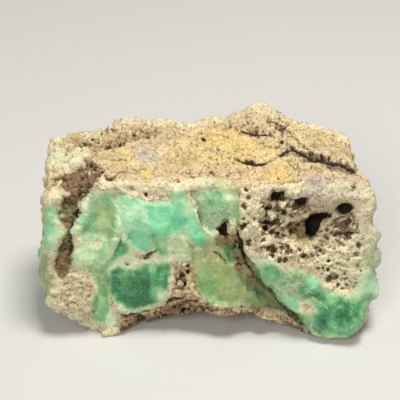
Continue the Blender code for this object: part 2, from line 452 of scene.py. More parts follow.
@dataclass(frozen=True)
class Block:
    """The stone's broken body: a box lattice pressed onto planes, then hollowed."""

    cells: tuple[int, int, int] = (440, 120, 160)
    quick_cells: tuple[int, int, int] = (250, 68, 92)
    half: Place = (52.5, 26.0, 26.5)
    centre: Place = (0.0, 0.0, 26.0)
    edge_power: float = 44.0
    sides: tuple[Facet, ...] = (
        Facet((0, -24.5, 0), (0, -1, 0.265)),
        Facet((-49.5, -17, 25), (-0.86, -0.50, 0.06)),
        Facet((48.5, -18.5, 25), (0.66, -0.75, 0.05)),
        Facet((0, 25.5, 25), (0.02, 1.0, 0.03)),
        Facet((-38, 20.5, 25), (-0.30, 0.95, 0.05)),
        Facet((36, 20, 25), (0.66, 0.74, 0.12)),
        Facet((0, 23, 4), (0.05, 0.72, -0.69)),
        Facet((-51.5, 0, 32), (-0.985, 0.06, 0.16)),
        Facet((-47.6, 0, 5), (-0.80, -0.05, -0.60)),
        Facet((50.5, -6, 32), (0.965, 0.23, 0.12)),
        Facet((47.5, -8, 4), (0.78, -0.10, -0.62)),
        Facet((0, 0, 0), (0, 0, -1)),
    )
    top: tuple[Facet, ...] = (
        Facet((0, 0, 49.9), (0.01, -0.07, 1.0)),
        Facet((-46, 4, 46.3), (-0.30, 0.02, 0.95)),
    )
    peak: tuple[Facet, ...] = (
        Facet((15.5, 25, 57.5), (-0.34, -0.20, 0.93)),
        Facet((16.5, 25, 57.5), (0.46, -0.20, 0.87)),
        Facet((16, 18, 55), (0.0, -0.42, 0.90)),
    )
    hollows: tuple[Hollow, ...] = (
        Hollow((5.0, -20, -30.0), (42, 42, 38)),
        Hollow((-4.0, 4, -16.0), (24, 18, 20)),
        Hollow((-14, 44, 34), (34, 22, 30)),
        Hollow((22, 39, 14), (26, 17, 20)),
        Hollow((-70, 6, 30), (20, 20, 24)),
        Hollow((70, 6, 20), (20.5, 18, 22)),
    )

    def lattice(self) -> tuple[np.ndarray, np.ndarray]:
        """The surface of a box of whole-number cells, with shared points on its edges.

        Returns:
            Points from -1 to 1 in each direction, and quads that face out.
        """
        counts = np.array(self.cells)
        stride = np.array([1, counts[0] + 1, (counts[0] + 1) * (counts[1] + 1)])
        codes = []
        for axis in range(3):
            second, third = (axis + 1) % 3, (axis + 2) % 3
            sides = np.arange(counts[second] + 1), np.arange(counts[third] + 1)
            u, v = np.meshgrid(*sides, indexing="ij")
            for level in (0, counts[axis]):
                code = level * stride[axis] + u * stride[second] + v * stride[third]
                ring = [code[:-1, :-1], code[1:, :-1], code[1:, 1:], code[:-1, 1:]]
                if level == 0:
                    ring.reverse()
                codes.append(np.stack([part.ravel() for part in ring], axis=1))
        names, quads = np.unique(np.concatenate(codes), return_inverse=True)
        x = names % stride[1]
        y = names // stride[1] % (counts[1] + 1)
        z = names // stride[2]
        points = np.stack([x, y, z], axis=1) / counts * 2.0 - 1.0
        return points, quads.reshape(-1, 4)

    def reach(self, rays: np.ndarray, facets: tuple[Facet, ...]) -> np.ndarray:
        """How far along each ray from the centre the facets let it go.

        A plane at height h stops a ray r at h / (n . r). Of all planes the nearest stops it,
        by a power mean that rounds the edges a little.

        Args:
            rays: vectors from the centre in metres.
            facets: the planes of one convex block.

        Returns:
            A factor for each ray.
        """
        centre = np.array(self.centre)
        total = np.zeros(len(rays))
        for facet in facets:
            facing = np.array(facet.facing, float)
            facing /= np.linalg.norm(facing)
            height = (np.array(facet.point) - centre) @ facing * MM
            total += np.maximum(rays @ facing / height, 0.0) ** self.edge_power
        return total ** (-1.0 / self.edge_power)

    def build(self, view: PhotoView) -> Skin:
        """Presses the lattice onto the blocks and takes the hollows out.

        Args:
            view: the camera that the photograph was taken with.

        Returns:
            The bare skin.
        """
        unit, quads = self.lattice()
        rays = unit * np.array(self.half) * MM
        body = self.reach(rays, self.sides + self.top)
        peak = self.reach(rays, self.sides + self.peak)
        points = np.array(self.centre) * MM + rays * np.maximum(body, peak)[:, None]
        for hollow in self.hollows:
            points = hollow.carve(points)
        return Skin(points, quads, view)


@dataclass(frozen=True)
class Outline:
    """The stone's outline in the photograph, as pixels clockwise from its top-left knob."""

    middle: Pixel = (209.5, 220.0)
    bins: int = 720
    broad: float = 9.0
    fine: float = 1.0
    rim_thickness: float = 7.0
    rim_power: int = 14
    broad_power: float = 1.5
    floor_zone: tuple[float, float] = (14.0, 3.0)
    pixels: tuple[Pixel, ...] = (
        (50, 136), (54, 135), (61, 136), (70, 132), (82, 129.7), (94, 129), (106, 126.5),
        (111.5, 124.5), (113.5, 120.5), (117.5, 117.8), (130, 116), (150, 119), (171, 118.7),
        (188, 123.4), (191, 122.8), (196.5, 119.8), (202, 116.8), (213, 114.9), (227, 116),
        (232, 112.5), (242, 109.4), (248, 105), (255, 101), (261, 99.7), (265.5, 100.2),
        (268, 103.4), (275, 108.3), (287, 116), (294, 119.5), (306, 122.3), (322, 125),
        (329, 128.5), (338, 129), (344, 132.5), (349, 138), (351, 145.7), (355.7, 154),
        (354.5, 159), (359, 170), (368, 176.5), (371, 186), (374, 190.5), (374, 196),
        (377.7, 202), (377.5, 206), (372.5, 220.5), (375.5, 225), (382, 233.5), (379, 245),
        (382, 251), (382.4, 260), (381, 265.5), (376.5, 267.3), (376.5, 271), (380, 285.5),
        (378.6, 298), (373, 300.4), (369, 311), (366, 322.7), (357, 332.3), (346, 339.3),
        (331, 340), (324, 339.3), (311, 336), (292, 328.5), (276.5, 323.3), (261, 319),
        (254, 315), (248, 313.8), (238, 315.7), (225, 316.3), (206, 313), (200, 311.5),
        (191.6, 312.5), (167, 317), (142, 323.3), (137.4, 324.6), (133.6, 328.4), (116, 336.7),
        (108, 338.2), (99.5, 336), (91, 333), (79.7, 327.8), (67.6, 319.5), (54, 312),
        (48.5, 308), (44.7, 303), (42.8, 289), (38.2, 280), (38.2, 256), (37, 252),
        (38.3, 247.6), (41.5, 235.5), (42, 228), (41, 210.6), (39, 200), (43.4, 191),
        (42, 181), (44.7, 171), (44.3, 166), (47, 154.5), (47.2, 148),
    )

    def polar(self, pixels: np.ndarray) -> tuple[np.ndarray, np.ndarray]:
        """Angle and distance of pixels round the outline's middle."""
        away = pixels - np.array(self.middle)
        return np.arctan2(away[:, 1], away[:, 0]), np.hypot(away[:, 0], away[:, 1])

    def target(self, angles: np.ndarray) -> np.ndarray:
        """The photograph's outline radius at each angle."""
        angle, radius = self.polar(np.array(self.pixels, float))
        order = np.argsort(angle)
        return np.interp(angles, angle[order], radius[order], period=2.0 * math.pi)

    def spread(self, values: np.ndarray, degrees: float) -> np.ndarray:
        """Values round the circle, blurred by a bell curve of this width.

        Args:
            values: one number for each bin.
            degrees: the bell curve's standard deviation.

        Returns:
            The blurred numbers.
        """
        offsets = np.arange(-self.bins // 2, self.bins // 2) * 360.0 / self.bins
        bell = np.exp(-0.5 * (offsets / degrees) ** 2)
        bell /= bell.sum()
        spectrum = np.fft.rfft(values) * np.fft.rfft(np.fft.ifftshift(bell))
        return np.fft.irfft(spectrum, self.bins)

    def fit(self, skin: Skin, rounds: int) -> None:
        """Stretches the skin in the picture plane until its outline is the photograph's.

        The ratio of the two outlines' radii is taken at each angle. Its broad part stretches
        the whole stone, its fine part only the points close to the outline. Near the ground a
        move up or down the picture is made along the floor, so the feet stay flat.

        Args:
            skin: the skin to fit.
            rounds: how often the fit is repeated.
        """
        view = skin.view
        centres = (np.arange(self.bins) + 0.5) / self.bins * 2.0 * math.pi - math.pi
        for _ in range(rounds):
            angle, radius = self.polar(skin.pixels)
            index = ((angle + math.pi) / (2.0 * math.pi) * self.bins).astype(int) % self.bins
            reach = np.zeros(self.bins)
            np.maximum.at(reach, index, radius)
            reach = np.maximum(reach, np.maximum(np.roll(reach, 1), np.roll(reach, -1)))
            ratio = self.target(centres) / reach
            broad = self.spread(ratio, self.broad)
            detail = self.spread(ratio / broad, self.fine)
            rim_depth = np.zeros(self.bins)
            order = np.argsort(radius)
            rim_depth[index[order]] = skin.depth[order]
            at = [
                np.interp(angle, centres, row, period=2.0 * math.pi)
                for row in (broad, detail, reach, rim_depth)
            ]
            share = np.clip(radius / at[2], 0.0, 1.0)
            behind = (skin.depth - at[3]) / (self.rim_thickness * MM)
            near_rim = share**self.rim_power * np.exp(-(behind**2))
            stretch = 1.0 + (at[0] - 1.0) * share**self.broad_power + (at[1] - 1.0) * near_rim
            middle = np.array(self.middle)
            wanted = middle + (skin.pixels - middle) * stretch[:, None]
            shift = view.lift(wanted, skin.depth) - skin.points
            low = smooth_step(*self.floor_zone, skin.points[:, 2] / MM)[:, None]
            along_floor = shift @ view.up / view.up[1]
            level = np.stack([shift[:, 0], along_floor, np.zeros(len(shift))], axis=1)
            skin.points = skin.points + shift * (1.0 - low) + level * low
            skin.refresh()


def segment_distance(pixels: np.ndarray, start: Pixel, end: Pixel) -> tuple[np.ndarray, np.ndarray]:
    """Distance of pixels from a straight stretch, and how far along it the nearest point is.

    Args:
        pixels: pixel columns and rows.
        start: first end of the stretch.
        end: other end of the stretch.

    Returns:
        Distances in pixels, and shares from 0 to 1.
    """
    origin = np.array(start, float)
    along = np.array(end, float) - origin
    share = np.clip((pixels - origin) @ along / max(along @ along, 1e-9), 0.0, 1.0)
    return np.linalg.norm(pixels - origin - share[:, None] * along, axis=1), share


def rows_of(numbers: tuple[float, ...], width: int = 2) -> np.ndarray:
    """Numbers written in turn, as rows of this width."""
    return np.array(numbers, float).reshape(-1, width)


@dataclass(frozen=True, kw_only=True)
class Mark(Tint):
    """A place worked into the seen faces, in photograph pixels, and what it is made of.

    push is a depth in millimetres along the line of sight, sink one along the surface normal, and
    soft the width of the edge in pixels. A gather above 1 keeps the tint closer to the mark's
    middle than the relief. Outlines and paths hold a column and a row in turn.
    """

    push: float = 0.0
    sink: float = 0.0
    soft: float = 1.0
    gather: float = 1.0

    def corners(self) -> np.ndarray:
        """Pixels that the mark lies between."""
        raise NotImplementedError

    def weight(self, pixels: np.ndarray) -> np.ndarray:
        """How strongly the mark holds at each pixel, from 0 to 1."""
        raise NotImplementedError

    def work(self, skin: Skin, pixels: np.ndarray) -> None:
        """Adds the mark's relief and sets its masks.

        Args:
            skin: the skin to work on.
            pixels: where each point shows, with its own small wander.
        """
        corners = self.corners()
        inside = (pixels > corners.min(axis=0) - self.soft) & (pixels < corners.max(axis=0) + self.soft)
        rows = np.flatnonzero(inside.all(axis=1) & (skin.seen > 0.0))
        weight = self.weight(pixels[rows]) * skin.seen[rows]
        skin.push[rows] += self.push * MM * weight
        skin.sink[rows] += self.sink * MM * weight
        skin.paint(self, weight**self.gather, rows)


Marks = tuple[Mark, ...]


@dataclass(frozen=True)
class Area(Mark):
    """A mark inside a closed outline."""

    outline: tuple[float, ...] = ()

    def corners(self) -> np.ndarray:
        """The outline's own points."""
        return rows_of(self.outline)

    def weight(self, pixels: np.ndarray) -> np.ndarray:
        """A ramp across the outline, from the signed distance to its nearest side.

        Args:
            pixels: pixel columns and rows.

        Returns:
            0 outside, 1 inside, half on the outline.
        """
        nearest = np.full(len(pixels), FAR)
        inside = np.zeros(len(pixels), bool)
        corners = self.corners()
        for start, end in zip(corners, np.roll(corners, -1, axis=0)):
            nearest = np.minimum(nearest, segment_distance(pixels, start, end)[0])
            crosses = (start[1] > pixels[:, 1]) != (end[1] > pixels[:, 1])
            if start[1] != end[1]:
                slope = (end[0] - start[0]) / (end[1] - start[1])
                inside ^= crosses & (pixels[:, 0] < start[0] + slope * (pixels[:, 1] - start[1]))
        return smooth_step(-self.soft, self.soft, np.where(inside, nearest, -nearest))


@dataclass(frozen=True)
class Line(Mark):
    """A mark along a path, with its full width in pixels at the start, middle and end."""

    path: tuple[float, ...] = ()
    widths: Place = (1.0, 2.0, 1.0)
    gather: float = field(default=2.2, kw_only=True)

    def corners(self) -> np.ndarray:
        """The path's points, moved out by half the width each way."""
        half = max(self.widths) / 2.0
        return np.concatenate([rows_of(self.path) - half, rows_of(self.path) + half])

    def weight(self, pixels: np.ndarray) -> np.ndarray:
        """A groove with sloping sides, from the distance to the path.

        Args:
            pixels: pixel columns and rows.

        Returns:
            1 near the path, 0 beyond the width and the soft edge.
        """
        points = rows_of(self.path)
        lengths = np.linalg.norm(np.diff(points, axis=0), axis=1)
        nearest = np.full(len(pixels), FAR)
        place = np.zeros(len(pixels))
        gone = 0.0
        for start, end, length in zip(points, points[1:], lengths):
            gap, share = segment_distance(pixels, start, end)
            closer = gap < nearest
            place = np.where(closer, (gone + share * length) / lengths.sum(), place)
            nearest = np.where(closer, gap, nearest)
            gone += length
        half = np.interp(place, (0.0, 0.5, 1.0), self.widths) / 2.0
        return smooth_step(half + self.soft, half * (1.0 - GROOVE_SIDE), nearest)


@dataclass(frozen=True)
class Spot(Mark):
    """A round or oval mark: middle, half-axes in pixels and turn in degrees."""

    middle: Pixel = (0.0, 0.0)
    radii: Pixel = (1.0, 1.0)
    turn: float = 0.0
    bowl: bool = False

    def corners(self) -> np.ndarray:
        """The corners of a square round the spot."""
        middle = np.array(self.middle)
        return np.stack([middle - max(self.radii), middle + max(self.radii)])

    def weight(self, pixels: np.ndarray) -> np.ndarray:
        """A pit with a flat floor and a soft wall, or a bowl that follows 1 - r^2.

        Args:
            pixels: pixel columns and rows.

        Returns:
            1 in the middle, 0 outside.
        """
        angle = math.radians(self.turn)
        away = pixels - np.array(self.middle)
        along = away[:, 0] * math.cos(angle) + away[:, 1] * math.sin(angle)
        across = away[:, 1] * math.cos(angle) - away[:, 0] * math.sin(angle)
        radius = np.hypot(along / self.radii[0], across / self.radii[1])
        if self.bowl:
            return np.clip(1.0 - radius**2, 0.0, 1.0)
        edge = min(self.soft / min(self.radii), 0.9)
        return smooth_step(1.0 + edge * 0.6, 1.0 - edge, radius)


@dataclass(frozen=True)
class Pits(Mark):
    """Several small round pits of one kind: column, row and radius of each in turn, in pixels."""

    holes: tuple[float, ...] = ()

    def corners(self) -> np.ndarray:
        """Corners round each pit."""
        holes = rows_of(self.holes, 3)
        return np.concatenate([holes[:, :2] - holes[:, 2:], holes[:, :2] + holes[:, 2:]])

    def weight(self, pixels: np.ndarray) -> np.ndarray:
        """The strongest of the pits' own weights at each pixel."""
        total = np.zeros(len(pixels))
        for across, down, radius in rows_of(self.holes, 3):
            gap = np.hypot(pixels[:, 0] - across, pixels[:, 1] - down)
            total = np.maximum(total, smooth_step(radius * 1.15 + 0.5 * self.soft, radius * 0.5, gap))
        return total


@dataclass(frozen=True)
class Scatter(Area):
    """Many small pits or grains, thrown by chance inside an outline, most of them small."""

    count: int = 40
    sizes: tuple[float, float] = (0.7, 2.0)
    seed: int = 60

    def weight(self, pixels: np.ndarray) -> np.ndarray:
        """The strongest spot's weight at each pixel, for the spots whose middles lie inside.

        Args:
            pixels: pixel columns and rows.

        Returns:
            0 between the spots, 1 in their middles.
        """
        chance = np.random.default_rng(self.seed)
        corners = self.corners()
        middles = chance.uniform(corners.min(axis=0), corners.max(axis=0), (self.count, 2))
        radii = self.sizes[0] + (self.sizes[1] - self.sizes[0]) * chance.random(self.count) ** 2
        inside = super().weight(middles) > 0.5
        total = np.zeros(len(pixels))
        for middle, radius in zip(middles[inside], radii[inside]):
            gap = np.hypot(*(pixels - middle).T)
            total = np.maximum(total, smooth_step(radius * 1.2 + 0.4, radius * 0.4, gap))
        return total


class Region:
    """A part of the stone's face. Its marks are worked in the order in which they are written."""

    def work(self, skin: Skin, pixels: np.ndarray) -> None:
        """Works every mark into the skin.

        Args:
            skin: the skin to work on.
            pixels: where each point shows, with its own small wander.
        """
        for entry in fields(self):
            value = getattr(self, entry.name)
            for mark in value if isinstance(value, tuple) else (value,):
                mark.work(skin, pixels)


@dataclass(frozen=True)
class TopFace(Region):
    """The sandy tan face that slopes a little to the front, stained ochre, with its cracks."""

    orange_bed: Mark = Area(
        (166, 144, 205, 130, 250, 126, 280, 142, 300, 166, 270, 178, 225, 174, 166, 166), soft=14,
        ochre=0.55)
    strong_yellow: Mark = Area(
        (204, 132, 228, 128, 246, 134, 244, 147, 222, 151, 204, 145), soft=9, ochre=0.8)
    orange_stain: Mark = Spot((147, 173.5), (10, 4.5), soft=4, pale=0, ochre=1)
    left_yellow: Mark = Area(
        (104, 158, 124, 148, 136, 152, 132, 168, 112, 174, 100, 170), soft=5, ochre=0.5)
    right_yellow: Mark = Spot((281, 177), (15, 8), soft=6, ochre=0.95)
    rear_yellow: Mark = Line((284, 122, 300, 128, 330, 140), (8, 10, 6), soft=5, ochre=0.55)
    grey_patch: Mark = Spot((147, 156), (17, 11), soft=7, pale=0.5, grey=0.6)
    violet_patch: Mark = Spot((318, 184), (15, 7), turn=12, soft=5, ochre=0, grey=0.95)
    right_grey: Mark = Area((325, 172, 352, 172, 368, 180, 368, 200, 345, 196, 326, 190), soft=6, grey=0.45)
    pink_front: Mark = Line(
        (122, 186, 150, 188, 180, 186, 210, 182), (10, 14, 10), soft=5, pale=1.4, ochre=-0.3, brown=-0.2,
        grey=0)
    # painted highlight: the rear edge is paled where light from above and behind catches it
    rear_rim: Mark = Line(
        (84, 132, 112, 126, 130, 119, 171, 121, 190, 126, 213, 118, 240, 112, 262, 103, 287, 118, 320, 127,
         347, 138), (8, 9, 6), soft=4, pale=0.7, ochre=0, grey=0.25)
    pit_band: Mark = Line(
        (76, 142, 95, 146, 112, 142, 128, 137, 156, 131), (8, 10, 6), sink=0.4, soft=5, gather=1.3,
        ochre=0.1, brown=0.5, porous=0.7)
    band_pits: Mark = Scatter(
        (70, 138, 84, 134, 128, 129, 158, 125, 166, 132, 130, 142, 110, 151, 88, 152, 74, 147), 130,
        (0.6, 1.9), 61, sink=0.6, brown=1, dark=0.9)
    cracks_left: Marks = (
        Line(
            (92, 177, 98, 172.5, 106, 169, 113, 163.5, 121.5, 159), (2.4, 1.4, 0.8), sink=0.7, soft=0.9,
            brown=0.8, dark=0.85),
        Line(
            (103, 174.5, 110, 179, 115, 176, 118, 173.5, 126, 171.5), (1.4, 2.6, 1.2), sink=0.7, soft=0.9,
            brown=0.9, dark=0.8),
    )
    holes: Mark = Pits(
        (193.5, 176.3, 2.4, 209, 165.3, 1.7, 211.5, 170.5, 2, 281.5, 140.3, 2, 203, 138.5, 1.4,
         131, 187, 1.1, 147, 195.5, 1.6, 246, 189, 1.3, 356, 183, 1.2), sink=1.4, soft=1.4, brown=1, dark=1)
    upper_crack: Mark = Line(
        (240, 130, 247, 132.5, 257, 133, 267, 135.2), (2.4, 5, 4.4), sink=1.1, gather=1, brown=1, dark=1)
    upper_pits: Mark = Scatter(
        (226, 127, 246, 122, 266, 121, 288, 124, 296, 136, 268, 138, 240, 134), 80, (0.6, 1.8), 62,
        sink=0.9, brown=0.9, dark=0.7)
    specks: Mark = Scatter(
        (60, 152, 100, 128, 180, 123, 262, 104, 345, 136, 366, 178, 300, 190, 240, 190, 130, 186, 100, 166),
        420, (0.4, 1.3), 70, sink=0.35, brown=0.9, dark=0.4)
    slab: Mark = Area(
        (257, 168, 268, 163, 276, 158.5, 283, 154, 291, 148, 300, 152, 312, 157.5, 327, 160, 343, 165,
         360, 172, 362, 150, 350, 130, 320, 116, 280, 120, 262, 134, 244, 136, 238, 150), sink=-0.35,
        soft=1.6)
    main_crack: Marks = (
        Line(
            (234, 156, 240, 160, 246, 160, 250, 160.5), (0.6, 2.2, 4.6), sink=0.9, soft=0.9, gather=1,
            brown=1, dark=1),
        Line(
            (247, 159.5, 251, 161.5, 256.5, 164.2, 265, 163.6, 273, 160.5, 279, 155.5, 286, 151, 292, 147),
            (6, 3.8, 5.2), sink=1.2, soft=0.9, gather=1, brown=1, dark=1),
        Line(
            (292, 147, 299, 150.5, 306, 154.5, 314, 157.5, 325, 159.5, 334, 161.5, 345, 164, 357, 169.5),
            (5.2, 6, 4.4), sink=1.2, soft=0.9, gather=1, brown=1, dark=1),
    )
    crack_crumbs: Mark = Line(
        (288, 148, 306, 156, 330, 162, 356, 171), (6, 12, 8), sink=0.3, soft=4, gather=1.4, brown=0.65,
        porous=0.5)
    crack_pits: Mark = Scatter(
        (292, 144, 312, 152, 340, 158, 360, 166, 358, 174, 338, 171, 316, 165, 300, 158), 170, (0.6, 1.9),
        63, sink=0.35, brown=1, dark=0.8)
    side_cracks: Marks = (
        Line((283, 159, 294, 165.5, 304, 172), (1, 1.3, 0.6), sink=0.4, soft=0.7, brown=0.8, dark=0.7),
        Line((291, 160, 303, 167.5, 312, 173), (0.8, 1.2, 0.6), sink=0.4, soft=0.7, brown=0.7, dark=0.6),
        Line(
            (268, 120, 281, 125, 297, 139, 303, 144, 311, 149.5), (1.2, 1.7, 1), sink=0.6, soft=0.8,
            brown=0.8, dark=0.7),
        Line((239.5, 169, 239.8, 176, 239.3, 185), (0.7, 1, 0.8), sink=0.3, soft=0.7, brown=0.5),
    )


@dataclass(frozen=True)
class Ledge(Region):
    """The pale greenish ledge at the rear left, whose lip overhangs the crumbling gully."""

    body: Mark = Area(
        (49, 145, 60, 147, 69, 151, 77, 147, 88, 149, 88, 158, 80.5, 161, 71, 163.5, 66, 168, 53, 170,
         46, 174, 43, 160), sink=-1.1, soft=2, green=0.28, tone=0, pale=0.85, grey=0.15)
    knob: Mark = Spot((54, 138), (6, 4), sink=-0.8, soft=3, pale=0.9, grey=0.1)
    hollow: Mark = Line((57, 146, 66, 149, 76, 144), (2, 3, 2), sink=0.9, soft=2, brown=0.35)
    lip_shadow: Mark = Line(
        (58, 173, 68, 170, 76, 166, 87, 162.5), (3, 6, 6), sink=2.2, soft=2.5, green=0, brown=0.8,
        dark=0.25)
    dots: Mark = Scatter(
        (46, 140, 60, 137, 84, 148, 80, 160, 60, 168, 44, 172), 36, (0.5, 1.5), 64, sink=0.5, brown=0.7,
        dark=0.6)


@dataclass(frozen=True)
class PaleFront(Region):
    """The greenish cream ground that the green masses of the left and middle front lie in."""

    ground: Mark = Area(
        (92, 190, 118, 198, 172, 200, 200, 192, 240, 196, 238, 228, 216, 236, 204, 250, 196, 262, 172, 260,
         118, 268, 108, 300, 92, 318, 92, 270, 70, 264, 69, 232, 80, 208), soft=6, green=0.5, tone=0.1,
        aqua=-0.25, milk=0.45, pale=0.7)
    toe: Mark = Area(
        (38, 282, 56, 300, 74, 318, 98, 330, 120, 326, 112, 342, 84, 336, 36, 312), soft=5, green=0.3,
        tone=0.05, aqua=-0.3, milk=0.3, pale=0.7)


GULLY_COURSE: tuple[float, ...] = (
    52, 176, 62, 169, 80, 164, 101, 163, 99, 184, 82, 199, 78, 222,
    70, 240, 69, 262, 60, 282, 50, 270, 56, 244, 55, 214, 56, 196,
)


@dataclass(frozen=True)
class Gully(Region):
    """The brown crumbling gully that runs from the black-painted hole down between pillar and shield; its
    holes and gaps are blackened with painted shade.
    """

    head: Mark = Area(
        (88, 160, 99, 168, 97, 177, 88, 190, 80, 198, 75, 206, 66, 205, 58, 196, 60, 184, 66, 174, 78, 166),
        push=3.6, soft=3.5, pale=0, ochre=0.15, brown=0.85, porous=1)
    left_slope: Mark = Area(
        (48, 176, 60, 172, 66, 178, 62, 188, 52, 187, 44, 184), push=1.6, soft=3, brown=0.4, porous=0.8)
    dark_hole: Mark = Spot((89.5, 163), (3.2, 2.8), push=3.2, dark=1)
    throat: Mark = Area(
        (58, 197, 70, 199, 77, 207, 76, 217, 71, 228, 63, 230, 57, 215), push=3.4, soft=2.5, green=0,
        brown=0.78, porous=1)
    black: Mark = Spot((74, 212.5), (3, 6), turn=15, push=3, soft=1.5, dark=1)
    lower: Mark = Area(
        (63, 228, 68, 230, 70, 250, 69, 268, 62, 280, 53, 274, 51, 264, 60, 246), push=2.8, soft=3.2,
        green=0, pale=0, brown=0.85, porous=1)
    reddish: Mark = Spot((57, 265), (8, 8), soft=4, ochre=0.55, brown=0.75)
    black_pits: Mark = Scatter(
        GULLY_COURSE, 150, (0.7, 2), 65, push=1, dark=0.9)
    grains: Mark = Scatter(
        GULLY_COURSE, 120, (0.6, 1.8), 66, push=-0.9, pale=0.8, brown=0.2, dark=0)


@dataclass(frozen=True)
class Pillar(Region):
    """The narrow pillar at the far left: a cream shoulder, an aqua band and a grey-green foot."""

    shoulder: Mark = Area(
        (43, 190, 52, 187, 62, 188, 68, 193, 70, 199, 62, 203, 52, 203, 40, 203), push=-0.7, soft=3.5,
        green=0, pale=0.9, brown=0)
    aqua_band: Mark = Area(
        (34, 202, 50, 203, 55, 212, 56, 222, 53, 238, 51, 250, 34, 250), push=-0.5, soft=3.5, green=1,
        tone=0.34, aqua=0.65)
    cream_strip: Mark = Area(
        (56, 222, 64, 230, 62, 240, 56, 250, 52, 262, 48, 258, 51, 244), push=-0.3, soft=1.6, green=0.1,
        pale=0.85, brown=0)
    crown: Mark = Spot((41, 250), (5, 5), push=-0.6, soft=2, green=0.3, pale=0.9)
    foot: Mark = Area(
        (34, 256, 46, 256, 50, 268, 54, 284, 50, 298, 44, 300, 34, 282), soft=4, green=0.6, tone=0.6,
        aqua=-0.7, milk=0.2, brown=0.4, grey=0.5)


@dataclass(frozen=True)
class Shield(Region):
    """The large oval facet left of the middle, scooped like a broken shell."""

    body: Mark = Area(
        (94, 189, 104, 189, 110.5, 195, 115.5, 206, 118, 226, 116, 240, 110.5, 253.5, 99, 268.5, 94, 268,
         80.5, 268, 72, 264, 71, 249, 71.5, 232, 76, 222, 80.5, 209, 87, 197), push=-1.6, soft=2.6, green=1,
        tone=0.35, aqua=-0.1, pale=0, brown=0)
    bowl: Mark = Spot((95, 226), (21, 38), turn=5, bowl=True, push=2.6)
    inner: Mark = Area(
        (94.5, 193, 108, 195, 115, 213, 115, 238, 104, 236, 90, 233, 76, 231, 77, 219, 83, 208), soft=3.5,
        tone=0.44, aqua=-0.4, milk=0.3)
    dark_top: Mark = Area((95, 193, 107, 195, 112, 205, 106, 209, 97, 206), soft=4, tone=0.48, aqua=-0.1)
    smooth_green: Mark = Area(
        (84, 206, 95, 204, 97, 219, 90, 222, 79, 220), soft=4, tone=0.34, aqua=0, milk=0)
    bright_patch: Mark = Area(
        (78, 221, 91, 221, 93, 228, 90, 234, 76, 231), soft=2.2, tone=0.46, aqua=0.25, milk=0)
    speckled: Mark = Area(
        (97, 204, 106, 206, 110, 222, 109, 238, 99, 238, 93, 228), soft=5, tone=0.28, aqua=-0.6, milk=0.5)
    shell_lines: Marks = (
        Line((107, 201, 111.5, 212, 113, 224, 112, 236), (1, 1.6, 1), push=0.2, soft=1.4, tone=0.6, milk=0),
        Line(
            (103, 204, 107, 214, 109, 226, 107, 240), (1, 1.4, 1), push=0.15, soft=1.4, tone=0.5, milk=0.1),
    )
    dusting: Mark = Area(
        (77, 238, 92, 236, 104, 238, 106, 245, 98, 251, 82, 250), push=-0.3, soft=3.5, green=0.3, milk=0.5,
        pale=0.75)
    mint_foot: Mark = Area(
        (70, 250, 84, 252, 100, 251, 110, 246, 107, 256, 98, 267, 82, 267, 70, 263), soft=3, tone=0.22,
        aqua=-0.1, milk=0.4)
    lit_rim: Mark = Line(
        (113, 200, 117.5, 213, 118.5, 226, 117, 240, 111, 254, 100, 267), (0.8, 1.5, 1.8), push=-0.5,
        soft=0.8, tone=0, milk=0.9, pale=0.9)
    left_rim: Mark = Line(
        (94, 190, 86, 199, 79, 211, 75, 224, 72, 236, 72, 262), (2, 2.4, 2), push=-0.3, soft=1.2, tone=0.1,
        milk=0.8, pale=0.8)
    cap: Mark = Area(
        (98, 174.5, 103, 175, 110, 180, 117, 184, 118.5, 192, 113, 195, 107, 191, 97, 188), push=-1.4,
        soft=1.8, green=0, pale=1, ochre=0, brown=0, grey=0.25)
    gully_neck: Mark = Line(
        (70, 220, 68.5, 228, 67, 236, 67.5, 246, 65, 256, 66, 264), (5.5, 4, 1.4), push=2.2, soft=1.6,
        gather=0.9, green=-0.4, brown=1, dark=0.9)
    dark_band: Mark = Area(
        (118, 238, 124, 238, 129, 246, 128, 254, 118, 258, 108, 267, 103, 268, 112, 256), push=0.5,
        soft=2.5, green=1, tone=0.62, aqua=0, milk=0.1)


